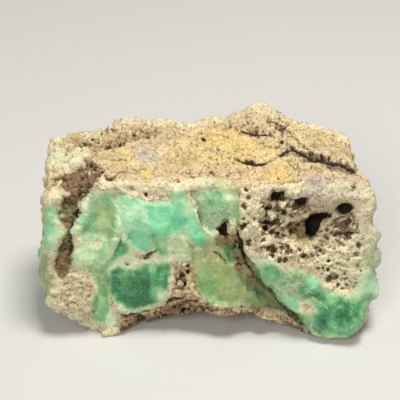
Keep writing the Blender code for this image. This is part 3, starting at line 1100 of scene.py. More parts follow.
@dataclass(frozen=True)
class TealMass(Region):
    """The bright blue-green mass in the middle, with white clouding on its left."""

    body: Mark = Area(
        (117, 194, 131, 197, 145, 202.5, 162, 201.5, 172, 203, 172.5, 189, 181.5, 189, 185, 199, 193, 207,
         198, 216, 203, 230, 200, 240, 190, 236, 184, 232, 168, 236, 157.5, 239, 151.5, 246, 146, 253,
         137, 252, 130, 246, 124, 236, 119.5, 230, 118, 214), push=-0.8, soft=2.2, green=1, tone=0.3,
        aqua=0.75, pale=0, ochre=0)
    swell: Mark = Spot((160, 219), (40, 20), turn=-8, bowl=True, push=-1.3)
    clouded: Mark = Area(
        (118, 196, 132, 199, 147, 204, 150, 216, 146, 226, 136, 232, 122, 230, 119, 214), soft=5, tone=0.15,
        aqua=0.7, milk=0.5)
    lower_left: Mark = Area(
        (124, 230, 142, 228, 148, 236, 147, 250, 137, 251, 129, 244), push=0.4, soft=4.5, tone=0.2,
        aqua=0.95, milk=0.1)
    core: Mark = Area(
        (152, 207, 172, 206, 186, 208, 187, 220, 176, 229, 160, 233, 152, 228, 148, 216), soft=6, tone=0.3,
        aqua=0.85, milk=0)
    deep_spots: Marks = (
        Spot((152, 236), (5, 7), turn=20, soft=4, tone=0.72),
        Spot((182, 221), (8, 4.5), turn=-25, soft=4, tone=0.66),
    )
    # paler and milkier at the top of the mass: partly white clouding, partly painted highlight
    spike: Mark = Area(
        (172, 184, 180, 184, 182, 192, 184, 204, 174, 206), push=-0.4, soft=2, tone=0.12, aqua=0.9,
        milk=0.4)
    spike_tip: Mark = Spot((176, 184), (5, 5), soft=3, tone=0.05, aqua=0.9, milk=0.8)
    right_mint: Mark = Area(
        (182, 201, 189, 206, 196, 215, 193, 219, 186, 214, 181, 208), soft=3, tone=0.1, aqua=0.4, milk=0.5)
    cream_top: Mark = Line(
        (122, 192, 134, 195, 147, 200, 160, 199.5, 171, 199), (3, 4, 3), push=-0.5, soft=1.6, green=0,
        pale=0.85)
    green_fringe: Mark = Line(
        (120, 196, 130, 199, 140, 202), (3, 4, 2), soft=2, green=0.9, tone=0.45, milk=0.3)
    rim: Mark = Line(
        (125, 234, 128.5, 242, 133, 249, 140, 253.5, 146.5, 253.5), (2, 3.4, 3.2), push=-0.8, soft=1.2,
        gather=1.2, green=0.2, milk=0.9, pale=1)
    white_cracks: Marks = (
        Line(
            (119, 219, 121.5, 226, 122.5, 233, 126, 238), (1.4, 1.6, 0.8), push=-0.2, soft=0.7, tone=0,
            milk=1, pale=0.9),
        Line((130, 240, 137, 243, 142, 241, 146, 236), (1, 1.4, 0.8), soft=0.8, tone=0.05, milk=0.9),
        Line(
            (124, 208, 134, 206, 146, 210, 147, 218, 140, 227), (1, 1.6, 0.8), soft=0.9, tone=0.05,
            milk=0.9),
    )
    cream_facet: Mark = Area(
        (167, 237, 178, 232, 186, 236, 187, 250, 184, 262, 174, 262, 168, 252), push=0.1, soft=4, green=0.6,
        tone=0.05, aqua=-0.4, milk=0.5, pale=0.7, ochre=0.3)
    green_facet: Mark = Area(
        (157, 240, 168, 237, 168, 252, 166, 258, 158, 254, 152, 248), push=0.3, soft=2.5, green=1, tone=0.4,
        aqua=0.1, milk=0.3)
    matrix_band: Mark = Area(
        (121, 254, 130, 251, 138, 256, 147, 257, 160, 253, 168, 258, 168, 265, 156, 263, 145, 266, 136, 269,
         122, 267), push=-0.2, soft=3, green=0.35, pale=1.3, brown=-0.4, grey=0)
    crack: Mark = Line(
        (146, 258, 151, 253, 156, 251.5, 161.5, 249.8), (1, 0.8, 0.3), push=0.9, soft=0.6, gather=1.2,
        brown=1, dark=0.9)
    hole: Mark = Spot((126.5, 264.3), (4, 2.2), push=1.6, brown=0.9, dark=1)
    band_crumbs: Mark = Scatter(
        (121, 254, 138, 253, 160, 250, 172, 256, 168, 266, 136, 270, 121, 268), 24, (0.6, 1.2), 67,
        push=0.4, brown=0.3, dark=0.1)


@dataclass(frozen=True)
class RightDome(Region):
    """The rounded green dome right of the middle, cut off on its left by a cream-rimmed crevice."""

    body: Mark = Area(
        (201, 195, 206, 191, 215, 190, 223, 193, 229, 200, 235, 210, 238, 220, 229, 221.5, 222, 224,
         216, 229, 212, 232, 205, 227, 200.5, 219, 199, 208), soft=4.5, green=0.95, tone=0.4, aqua=-0.15,
        pale=0, ochre=0)
    swell: Mark = Spot((218, 210), (19, 20), bowl=True, push=-1.5)
    fringe: Mark = Area(
        (196, 186, 216, 176, 236, 184, 241, 198, 232, 201, 222, 193, 206, 192), soft=7, green=0.42,
        tone=0.5, aqua=-0.6, ochre=0.4)
    bright: Mark = Area(
        (202, 196, 216, 192, 226, 196, 228, 208, 218, 214, 204, 212), soft=5, tone=0.42, aqua=0.25)
    deep_spots: Marks = (
        Spot((209, 201.5), (4.5, 3), soft=2.5, tone=0.8),
        Spot((216, 194), (6, 3), soft=3, tone=0.7),
    )
    flecked: Mark = Area(
        (206, 212, 222, 208, 236, 210, 238, 220, 226, 221, 214, 228, 205, 224), soft=5, tone=0.72,
        aqua=-0.35, milk=0.6, brown=0.12)
    grey_side: Mark = Area(
        (226, 197, 236, 197, 241, 208, 241, 221, 233, 220, 230, 208), soft=4, green=0.7, tone=0.4,
        aqua=-0.5, milk=0.5)
    crevice: Mark = Line(
        (199.5, 207, 200, 216, 202, 224, 206, 228.5, 211, 231), (0.8, 1, 0.8), push=0.5, soft=0.9,
        brown=0.5, dark=0.2)
    cream_rim: Mark = Line(
        (188, 196, 192, 202, 196.5, 207.5, 198, 216, 200.5, 225.5, 206, 231, 212, 234.5), (1.6, 2.2, 1.4),
        push=-0.8, green=0.1, milk=0.8, pale=1)
    brown_nook: Mark = Area(
        (189, 189, 197, 190, 199.5, 199, 198, 205, 193, 200), push=1, soft=3, green=0.4, tone=0.4,
        ochre=0.4, brown=0.35)
    aqua_patch: Mark = Area(
        (193, 230, 200, 229, 207, 234, 208, 240, 199, 243, 193, 239), soft=2, green=1, tone=0.4, aqua=0.95,
        milk=0.1)


@dataclass(frozen=True)
class Recess(Region):
    """The olive-green floor in the middle, which gets deeper towards the diagonal crevice."""

    floor: Mark = Area(
        (190, 244, 203, 240, 216, 240, 232, 240, 243, 252, 256, 276, 276, 296, 286, 310, 262, 312, 240, 306,
         205, 304, 196, 290, 188, 264), push=2.4, soft=6, green=0.85, tone=0.5, aqua=-0.75, milk=0.1,
        pale=0.1, brown=0.12)
    # painted shade: browned, darkened and deepest green beside the crevice
    deep_side: Mark = Line(
        (234, 238, 240, 256, 252, 276, 268, 294, 284, 312, 300, 328), (8, 12, 12), push=2.6, soft=9,
        green=0.6, tone=1, brown=1, dark=0.25)
    top_nook: Mark = Area(
        (216, 236, 232, 234, 240, 234, 241, 246, 232, 248, 218, 244), push=1.8, soft=2.5, green=0,
        brown=0.45)
    left_cream: Mark = Area(
        (182, 240, 192, 238, 204, 246, 206, 262, 196, 280, 188, 268), soft=4, green=0.55, tone=0.2,
        aqua=-0.6, milk=0.3, pale=0.3, ochre=0.3)
    ochre_middle: Mark = Area(
        (204, 242, 214, 244, 222, 262, 222, 276, 210, 272, 202, 258), soft=5, green=0.55, tone=0.25,
        aqua=-1, milk=0.1, ochre=0.5, brown=0.25)
    light_green: Mark = Area(
        (203, 266, 212, 268, 217, 284, 216, 300, 206, 300, 200, 284), soft=6, green=1, tone=0.45, aqua=-0.4,
        milk=0.1)
    pale_middle: Mark = Area(
        (226, 278, 242, 276, 250, 290, 246, 304, 232, 304, 224, 292), soft=5, green=0.9, tone=0.42,
        aqua=-0.8, milk=0.4)
    green_patch: Mark = Area(
        (224, 247, 232, 242, 240, 246, 241, 255, 238, 261, 228, 258, 222, 254), push=-0.6, soft=2.5,
        green=1, tone=0.6, aqua=-0.2, milk=0)
    brown_patch: Mark = Area(
        (231, 263, 242, 261, 250, 268, 250, 276, 240, 278, 233, 272), soft=3, green=0.1, pale=0.1,
        brown=0.5, porous=0.4)
    deep_blob: Mark = Area(
        (254, 283, 261, 281, 265, 290, 265, 298, 258, 298, 252, 291), push=-0.4, soft=2.2, green=1,
        tone=0.85, aqua=0.1, milk=0)
    grey_green: Mark = Area(
        (264, 290, 276, 296, 284, 306, 280, 312, 266, 306), soft=4, green=0.7, tone=0.95, aqua=-0.5, milk=0,
        brown=0.55, grey=0.3)
    tan_foot: Mark = Area(
        (252, 309, 268, 308, 284, 312, 298, 322, 308, 333, 300, 334, 276, 325, 258, 320), push=-0.8, soft=3,
        green=0, ochre=0.1, brown=0.25, porous=0.4)
    # porous brown crust, browned further as painted shade low on the front
    arch_rim: Mark = Line(
        (190, 309, 206, 309, 225, 312, 240, 311.5, 252, 311), (8, 8, 9), push=-0.8, soft=2, gather=1.2,
        green=0.3, pale=0, brown=1, dark=0.2, porous=1)
    stain: Mark = Area(
        (217, 236, 228, 235, 230, 243, 222, 246, 216, 242), push=-0.4, soft=2, pale=0.2, ochre=0.6,
        brown=0.6)
    hole: Mark = Area(
        (219, 226, 224, 222, 228, 222, 227.5, 229, 231, 233, 227, 236, 219, 234, 216.5, 230), push=5,
        soft=1.2, green=0, brown=1, dark=1)
    lump: Mark = Area(
        (228, 222, 236, 219, 238.5, 224, 236, 231, 230, 230), push=-2.6, soft=1.5, green=0, pale=0.8,
        brown=0.1, dark=0)
    crack: Mark = Line(
        (213.5, 253, 217, 255.5, 221, 258.5, 227, 263), (0.5, 1, 0.4), push=0.9, soft=0.6, brown=1,
        dark=0.9)


@dataclass(frozen=True)
class WindowBlock(Region):
    """The deep emerald block low on the left, with a white rim and a crevice under it."""

    body: Mark = Area(
        (109, 271, 117, 267, 130, 269, 140, 270.5, 145, 266, 151, 264, 158, 265, 169, 264, 170, 278,
         168, 292, 163, 296, 165, 302, 156, 306.5, 145, 308, 131, 312, 122, 310, 116, 303, 110.5, 290),
        push=0.6, soft=2.5, green=1, tone=0.8, aqua=0, milk=0, pale=0)
    top_shade: Mark = Area((116, 269, 138, 271, 142, 280, 118, 281), soft=3, tone=0.7, aqua=-0.25)
    blue_corner: Mark = Spot((120, 289), (7, 8), soft=4, tone=0.78, aqua=0.35)
    deepest: Mark = Area(
        (128, 278, 150, 276, 152, 290, 148, 304, 132, 306, 124, 298), soft=5, tone=0.92, aqua=-0.1)
    ridge: Mark = Area(
        (148, 264, 158, 265, 158, 276, 156, 290, 151, 290, 150, 276), push=-0.5, soft=2.2, tone=0.66,
        aqua=0.2)
    ridge_light: Mark = Spot((152, 268), (6, 4), soft=4, tone=0.2, aqua=0.4, milk=0.5)
    right_face: Mark = Area(
        (158, 266, 169, 265, 170, 278, 168, 290, 160, 290, 157, 278), push=0.3, soft=2.5, tone=0.74,
        aqua=0.2, milk=0.1)
    flecked: Mark = Area(
        (152, 286, 160, 284, 166, 292, 163, 300, 154, 300), push=-0.2, soft=3, tone=0.5, aqua=0.1, milk=0.4)
    cream_fleck: Mark = Area(
        (156, 296, 160, 294, 163, 297, 160, 300), push=-0.3, soft=1.4, green=0.5, tone=0.1, milk=0.8,
        pale=0.8)
    under_crust: Mark = Line(
        (112, 298, 118, 307, 126, 313, 134, 313, 146, 309.5, 159, 306), (2, 6, 4), push=-0.4, soft=3,
        gather=1.2, green=0.3, tone=0.1, milk=0.5, pale=0.8)
    right_cream: Mark = Line(
        (171, 262, 173, 274, 171.5, 288, 168, 298), (3, 4, 5), push=-0.5, soft=2.6, gather=1.2, green=0.2,
        pale=0.7, ochre=0.35)


@dataclass(frozen=True)
class BrownPocket(Region):
    """The pitted brown pocket between the emerald block and the recess, and the lower lip."""

    ground: Mark = Area(
        (174, 262, 184, 258, 192, 262, 197, 278, 204, 300, 200, 310, 182, 306, 170, 303, 171, 290),
        push=0.5, soft=4, green=0.1, pale=0.2, ochre=0.3, brown=0.22, porous=0.35)
    cavity: Mark = Area(
        (174, 277, 181, 276, 187, 280, 188, 288, 181, 291, 174, 288), push=1.8, soft=2.4, ochre=0.2,
        brown=0.75)
    holes: Mark = Pits(
        (182, 275.5, 2.3, 188, 271.3, 2, 187, 266, 1.4, 176, 289, 1.4, 185, 284, 1.6), push=1.2, brown=1,
        dark=0.9)
    lumps: Mark = Scatter(
        (172, 262, 186, 260, 196, 276, 204, 304, 190, 308, 172, 302), 40, (0.9, 3), 68, push=-0.9, pale=0.7,
        ochre=0.3, brown=0.05, dark=0)
    # porous brown crust, browned further as painted shade low on the front
    lip: Mark = Area(
        (121, 321, 135, 318, 150, 314, 165, 309.5, 172, 303, 186, 299.5, 196, 300, 206, 304, 206, 314,
         192, 314, 160, 321, 139, 326, 134, 332, 118, 337), push=-1.4, soft=2, green=0.05, pale=0.2,
        brown=0.75, porous=1)
    lip_pits: Mark = Scatter(
        (124, 320, 165, 310, 186, 300, 206, 303, 250, 309, 250, 316, 206, 314, 150, 324, 124, 334), 190,
        (0.6, 2.2), 69, push=1, brown=1, dark=0.9)
    crevice: Mark = Line(
        (121, 317, 127.5, 317, 138, 314, 147, 311.5, 155, 309.5, 164, 307, 168, 302.5, 172, 299.5,
         178, 299.5, 185, 296.5), (1, 2.4, 1.2), push=1.8, soft=1.2, gather=1.5, green=0, brown=1, dark=0.9)


@dataclass(frozen=True)
class LowerLeft(Region):
    """The gritty cream foot at the lower left, crossed by a green vein."""

    gritty: Mark = Area(
        (54, 286, 64, 280, 72, 269, 84, 269, 92, 275, 95, 292, 91, 306, 88, 318, 70, 318, 54, 308, 47, 298),
        push=-1, soft=3, green=0.1, pale=0.6, brown=0.2, porous=0.5)
    outer_rim: Mark = Line(
        (44, 300, 54, 311, 67, 320, 82, 329, 97, 334), (8, 10, 9), soft=3, green=0.4, tone=0, aqua=-0.2,
        milk=0.5, pale=0.75)
    brown_rim: Mark = Line((58, 312, 70, 320, 80, 325), (2, 3, 2), soft=2, brown=0.35, porous=0.6)
    toe: Mark = Area(
        (100, 327, 118, 324, 132, 320, 136, 326, 118, 337, 100, 337), push=-0.6, soft=3, green=0.1,
        pale=0.55, ochre=0.25, porous=0.4)
    vein: Mark = Area(
        (84, 269, 100, 270, 108, 268, 109, 280, 107, 292, 107, 310, 106, 326, 96, 326, 90, 318, 92, 304,
         97, 292, 96, 280), soft=3, green=0.85, tone=0.68, aqua=-0.45, milk=0.15, brown=0.28)
    ridge: Mark = Line(
        (101, 295, 98.5, 303, 97, 311, 97.5, 319), (1, 1.6, 1), push=-0.4, soft=1.2, green=0.8, tone=0.15,
        milk=0.6)
    lens: Mark = Area(
        (102, 297, 107, 299, 108, 310, 104, 320, 99, 324, 98, 310), push=-0.5, soft=1.8, green=1, tone=0.45,
        aqua=0.15, milk=0)
    deep_side: Mark = Line((95, 296, 92, 306, 91, 318), (3, 4, 3), soft=2, tone=0.75, aqua=0.2)
    crystals: Mark = Area(
        (104, 317, 112, 314, 118, 318, 117, 326, 108, 328, 103, 325), push=-0.6, soft=2, green=0.85,
        tone=0.1, aqua=0.9, milk=0.75, pale=0.3)
    brown_line: Mark = Line(
        (107.5, 275, 107.5, 280, 108.5, 285, 108, 291), (0.8, 1.5, 0.8), push=0.5, soft=0.8, green=0.3,
        brown=0.8, dark=0.35)
    brown_halo: Mark = Line(
        (106, 270, 110, 288, 113, 304), (3, 3, 4), soft=2, green=0.35, ochre=0.3, brown=0.5)


@dataclass(frozen=True)
class DiagonalCrevice(Region):
    """The black crevice under the left edge of the right-hand block; its black is painted shade."""

    groove: Mark = Line(
        (237.5, 229, 239, 236, 241, 245, 244, 255.5, 249, 266.5, 256, 275.5, 266, 286.5, 276, 295.5,
         281, 303, 289, 312, 295.5, 318.5, 302, 325, 308, 330), (3.4, 1.2, 0.4), push=2.6, soft=1.2,
        gather=2, green=0.3, brown=0.85, dark=0.9)
    crumbs: Mark = Scatter(
        (233, 232, 240, 236, 246, 256, 262, 278, 256, 282, 238, 264, 234, 248), 90, (0.7, 2.4), 71, push=1,
        green=0.2, brown=0.9, dark=0.8)


@dataclass(frozen=True)
class RightBlock(Region):
    """The proud block at the right: cream host rock full of pits above, green at its edge."""

    body: Mark = Area(
        (239, 200, 240, 190, 300, 180, 345, 180, 392, 190, 392, 350, 330, 352, 308, 329, 296, 316.5,
         282, 301, 277, 293.5, 267, 284, 258, 274.5, 251, 265, 246, 255, 243, 244, 240.5, 234, 239.5, 215),
        push=-2.2, soft=1.5, green=0, pale=0.75, ochre=0)
    edge_cream: Mark = Line((242, 236, 244.5, 246, 249, 256), (3, 4, 3), push=-0.3, soft=1.6, pale=0.95)
    grey_shelf: Mark = Area(
        (300, 190, 320, 190, 345, 193, 368, 198, 366, 206, 352, 203, 336, 203, 330, 210, 316, 210,
         304, 206), push=-0.5, soft=3, pale=0.35, ochre=0, grey=0.5)
    shelf_hollow: Mark = Spot((345, 203), (11, 6), push=1.8, soft=3, brown=0.3, grey=0.3)
    # painted shade: browned under the grey shelf, where its overhang shades the hollow; its porous rock is
    # real
    under_shelf: Mark = Area(
        (290, 200, 312, 206, 336, 206, 356, 208, 358, 218, 340, 222, 322, 224, 304, 220, 286, 212),
        push=1.2, soft=4, ochre=0.1, brown=0.45, porous=0.5)
    # the hollows are browned a little as painted shade
    broad_hollow: Mark = Spot((316, 230), (38, 26), turn=8, bowl=True, push=3.8, brown=0.15)
    left_hollow: Mark = Spot((277, 220), (20, 28), turn=-8, bowl=True, push=2.6, brown=0.25)
    lumps: Marks = (
        Spot((284, 228), (6, 5), push=-1.8, soft=2.5, pale=0.6),
        Spot((276, 238), (5, 4), push=-1.6, soft=2.5, pale=0.7),
        Spot((293, 211), (6, 4), push=-1.5, soft=2.5, pale=0.6),
        Spot((343, 229), (5, 4), push=-1.8, soft=2.5, pale=0.7),
        Spot((333, 242), (7, 4), push=-1.5, soft=2.5, pale=0.6),
    )
    hole_a: Mark = Area(
        (273, 191, 284.5, 191, 285, 200, 278, 203, 272, 200), push=4.4, soft=2, brown=1, dark=1)
    groove_ab: Mark = Line(
        (282, 197, 290, 198, 297, 198), (4, 4, 4), push=2.2, soft=1.6, brown=0.7, dark=0.2)
    hole_b: Mark = Area(
        (295, 198, 302, 195, 309, 199, 307, 204, 301, 206.5, 296, 202), push=3.8, soft=1.8, brown=1, dark=1)
    white_lump: Mark = Area(
        (278, 201.5, 284, 201, 288, 205, 287, 210, 281, 211, 277, 206), push=-1.6, soft=1.6, pale=0.9,
        brown=0, grey=0.35)
    lump_pit: Mark = Area(
        (280, 209.5, 286.5, 210, 286, 215.5, 281, 214), push=2.6, soft=1.3, brown=1, dark=0.7)
    hole_c: Mark = Spot((266.8, 208.3), (4.4, 3), push=3.4, soft=1.2, brown=1, dark=0.95)
    hole_d: Mark = Area(
        (261, 217, 266, 214, 271, 217, 273, 222, 270, 228, 266, 232, 261, 227), push=4, soft=2, brown=1,
        dark=0.95)
    floor_d: Mark = Area(
        (263, 230, 270, 227, 275, 231, 273, 235, 265, 235), push=2, soft=1.8, pale=0.3, ochre=0.3,
        brown=0.5)
    hole_e: Mark = Area(
        (267.5, 245, 275, 243.5, 277, 247, 275.5, 252, 267, 252.5), push=3, soft=1.3, ochre=0.3, brown=1,
        dark=0.55)
    slit_f: Mark = Line((280.5, 242, 285, 243.5, 291, 242), (2, 3, 1.6), push=2.4, brown=1, dark=0.85)
    left_pits: Mark = Pits(
        (252, 207, 1.6, 248.5, 215.5, 2.3, 246, 224, 2.2, 242, 227, 2.2, 249, 228, 1.8, 251, 240, 1.7,
         278, 234, 1.7, 261, 248, 1.4, 322, 231, 1.8, 329, 226, 2.2, 341, 217, 2), push=1.6, brown=0.95,
        dark=0.9)
    small_pits: Mark = Scatter(
        (240, 198, 266, 194, 300, 206, 312, 212, 306, 224, 282, 240, 300, 250, 312, 262, 290, 264, 262, 254,
         246, 246, 241, 224), 130, (0.8, 3.6), 72, push=1.5, brown=0.85, dark=0.5)
    grains: Mark = Scatter(
        (244, 202, 290, 206, 312, 212, 306, 226, 282, 238, 318, 250, 306, 266, 262, 252, 246, 240), 150,
        (1, 3.4), 73, push=-1.4, pale=1, brown=0, dark=0)
    olive_hollow: Mark = Area(
        (290, 224, 300, 218, 312, 218, 312, 238, 300, 240, 291, 234), push=3.4, soft=4.5, pale=0, ochre=0.6,
        brown=0.6, porous=0.3)
    hollow_floor: Mark = Area(
        (294, 237, 304, 240, 316, 237, 316, 247, 300, 249), push=0.8, soft=3, pale=0.5, ochre=0.5)
    black_drop: Mark = Area(
        (309, 215, 320, 214, 320, 226, 318, 237, 312, 240, 306, 234, 307, 223), push=6, soft=2.2, brown=1,
        dark=1)
    black_arm: Mark = Area(
        (312, 214, 320, 211, 328, 210.5, 334, 212, 332, 217, 325, 218, 318, 221), push=4.6, soft=2, brown=1,
        dark=1)
    slot_h: Mark = Area(
        (336, 208, 343, 205, 350, 205.5, 355, 209.5, 349, 211.5, 340, 213), push=4.4, soft=1.8, brown=1,
        dark=1)
    porous_lump: Mark = Area(
        (320, 220, 328, 219, 335, 222, 336, 231, 330, 236, 320, 236, 318, 228), push=-1.8, soft=2, pale=0.6,
        brown=0.1)
    lump_holes: Mark = Pits(
        (327.5, 229.7, 2.6, 337.2, 225, 2.2, 337, 222, 1.6, 348.2, 222, 3, 345.5, 224, 1.8), push=2.2,
        brown=1, dark=0.6)
    slot_k: Mark = Line(
        (337, 235, 343, 233, 349, 232, 354, 233), (2.6, 4, 3), push=2.6, soft=1.2, brown=1, dark=0.8)
    orange_pit: Mark = Spot((307, 257), (5.4, 2.2), push=1.6, ochre=0.9, brown=0.75)
    brown_pits: Mark = Scatter(
        (276, 250, 300, 249, 318, 260, 304, 270, 284, 266), 10, (1.2, 2.6), 74, push=1.4, ochre=0.7,
        brown=0.55)


@dataclass(frozen=True)
class SpongyField(Region):
    """The finely porous lower right of the proud block."""

    field_of_pores: Mark = Area(
        (312, 246, 322, 238, 336, 237, 356, 236, 366, 240, 367, 262, 362, 282, 352, 292, 336, 288, 320, 276,
         308, 264), soft=5, pale=1, brown=0, porous=0.4)
    # porous rock, browned as painted shade under the shelf
    upper_pores: Mark = Area(
        (334, 218, 346, 214, 360, 220, 362, 238, 340, 238, 334, 230), push=0.4, soft=4, brown=0.4,
        porous=0.9)
    left_pores: Mark = Area(
        (240, 196, 262, 196, 260, 214, 262, 236, 280, 240, 300, 252, 296, 262, 270, 258, 248, 250,
         242, 232), soft=3, pale=0.8, porous=0.45)
    large: Mark = Pits(
        (357.5, 242, 2.4, 360, 246, 2, 342, 253, 1.9, 357, 255.5, 2.4, 328, 261.5, 1.6, 337, 276.5, 1.8,
         348, 278.5, 1.9, 318, 253, 1.8), push=1.6, brown=0.95, dark=0.8)
    small: Mark = Scatter(
        (312, 246, 322, 238, 334, 220, 352, 212, 366, 228, 368, 262, 362, 282, 352, 292, 336, 288, 320, 276,
         306, 262), 260, (0.5, 2.1), 75, push=1.3, brown=0.9, dark=0.6)
    grains: Mark = Scatter(
        (312, 246, 322, 236, 338, 220, 362, 222, 366, 262, 352, 290, 336, 286, 306, 262), 200, (0.7, 2), 76,
        push=-0.8, pale=1, brown=0, dark=0)


@dataclass(frozen=True)
class GreenNose(Region):
    """The waxy green edge and nose at the lower right, and the grey-green flank above them."""

    flank: Mark = Area(
        (362, 224, 368, 216, 392, 216, 392, 268, 368, 268, 363, 256, 366, 240), soft=3, green=0.45,
        tone=0.12, aqua=-0.35, milk=0.4, pale=0.5, grey=0.4, porous=0)
    right_green: Mark = Area(
        (369, 269, 376, 268, 392, 268, 392, 310, 368, 310, 360, 300, 361, 290, 363, 277), push=-0.5,
        soft=2.4, green=1, tone=0.14, aqua=0.5, milk=0.55, pale=0, grey=0)
    edge: Mark = Area(
        (250, 257, 262, 258, 274, 265, 284, 269.5, 296, 270, 305, 272.5, 312, 275, 318, 281, 323, 288,
         332, 293, 345, 296, 353, 300.5, 361, 295, 392, 296, 392, 352, 320, 352, 296, 320, 282, 303,
         266, 287, 252, 270), soft=2, green=1, tone=0.42, aqua=0.1, milk=0.2, pale=0, porous=0)
    edge_mint: Mark = Area(
        (250, 256, 262, 258, 272, 264, 268, 272, 256, 270), soft=3, green=0.7, tone=0.08, milk=0.6,
        pale=0.5)
    green_slope: Mark = Area(
        (261, 266, 272, 266, 280, 273, 276, 282, 266, 280), push=0.3, soft=2.5, tone=0.48, aqua=0.1, milk=0)
    upper_green: Mark = Area(
        (279, 270, 296, 271, 308, 276, 312, 284, 300, 286, 286, 281), push=-0.5, soft=3, green=0.55,
        tone=0.66, aqua=-0.5, milk=0.3, brown=0.42, grey=1)
    sparkle_bed: Mark = Area(
        (273, 283, 284, 283, 298, 287, 304, 291, 298, 298, 286, 298, 277, 293), push=0.8, soft=4, green=0.5,
        tone=0.66, aqua=-0.2, milk=0.7, pale=0, brown=0.42, grey=1)
    blue_facet: Mark = Area(
        (308, 279, 314, 281, 319, 288, 316, 292, 308, 288), push=-0.4, soft=1.6, tone=0.35, aqua=1,
        milk=0.3, grey=0.25)
    centre_green: Mark = Area(
        (300, 286, 310, 290, 322, 292, 330, 300, 322, 302, 308, 298, 300, 296), push=-0.6, soft=3,
        green=0.9, tone=0.9, aqua=-0.15, milk=0.3, brown=0.3)
    aqua_edge: Mark = Area(
        (281, 297, 292, 299, 297, 306, 298, 316, 291, 311, 284, 304), push=-0.4, soft=2.2, tone=0.3,
        aqua=0.9, milk=0.35)
    cream_spot: Mark = Area(
        (298, 303, 306, 300, 315, 304, 318, 312, 312, 318, 304, 316), push=-0.5, soft=2, green=0.1, tone=0,
        milk=0.5, pale=0.85)
    orange_dots: Mark = Pits(
        (311, 306, 2, 314, 309, 1.8, 312, 314, 1.3, 309, 309, 1.2), green=0, ochre=1, brown=0.35)
    fold: Mark = Line(
        (311, 299, 317, 300.5, 324, 304, 329, 310, 331, 317), (1.4, 2, 1.4), push=-0.8, soft=1.2, tone=0.1,
        milk=0.8)
    cream_veins: Marks = (
        Line((314, 318, 312, 325, 315, 331), (1, 1.5, 0.8), soft=1.8, tone=0.3, milk=0.5),
        Line((331, 322, 338, 328, 346, 331), (1, 2, 1), soft=2.2, tone=0.35, milk=0.5),
        Line(
            (326, 306, 334, 309, 343, 306, 352, 309), (0.8, 1.4, 0.6), push=0.3, soft=1.2, tone=0.1,
            milk=0.8),
        Line(
            (350, 302, 352, 312, 349, 322, 352, 332), (0.6, 1.2, 0.6), push=0.3, soft=1.2, tone=0.2,
            milk=0.7),
        Line((334, 302, 336, 310, 334, 318), (1, 1.6, 1), soft=2.2, tone=0.35, milk=0.45),
        Line((366, 280, 370, 288, 368, 298), (1.2, 2, 1), soft=2.2, tone=0.2, milk=0.6),
    )
    nose: Mark = Spot((344, 316), (28, 26), bowl=True, push=-1.6)
    nose_tone: Mark = Area(
        (328, 302, 344, 299, 358, 303, 366, 312, 364, 326, 350, 338, 334, 336, 322, 324), soft=4, tone=0.62,
        aqua=0.15, milk=0.05)
    deepest: Mark = Area(
        (338, 312, 350, 308, 358, 316, 356, 326, 344, 330, 336, 326), soft=4, tone=0.95, aqua=0.05)
    lower_left: Mark = Area(
        (318, 316, 328, 318, 334, 330, 322, 333, 314, 326), soft=5, tone=1, aqua=0, brown=0.2, dark=0.5)
    cream_cuff: Mark = Area(
        (342, 288, 354, 292, 360, 288, 360, 296, 354, 303, 346, 298), push=-0.3, soft=3, green=0.25,
        tone=0.05, pale=0.8, ochre=0.25)
    foot_rim: Mark = Line(
        (308, 333, 322, 338, 334, 340, 346, 338), (3, 2.4, 2), soft=1.5, green=0.6, tone=0.05, milk=0.8,
        pale=0.7)


MASK_SPREAD = {"green": 28, "tone": 8, "aqua": 14, "milk": 5, "pale": 5, "ochre": 12, "grey": 10}

REGIONS: tuple[Region, ...] = (
    TopFace(), PaleFront(), Gully(), Pillar(), Ledge(), Recess(), DiagonalCrevice(), RightBlock(),
    SpongyField(), GreenNose(), LowerLeft(), WindowBlock(), BrownPocket(), TealMass(), Shield(), RightDome(),
)


@dataclass(frozen=True)
class Patch:
    """A soft ellipsoid on the unseen sides: middle and half-axes in millimetres."""

    middle: Place
    radii: Place

    def weight(self, places: np.ndarray) -> np.ndarray:
        """A bell round the middle: exp(-r^2), with r in the ellipsoid's own units."""
        away = (places - np.array(self.middle) * MM) / (np.array(self.radii) * MM)
        return np.exp(-np.sum(away**2, axis=1))


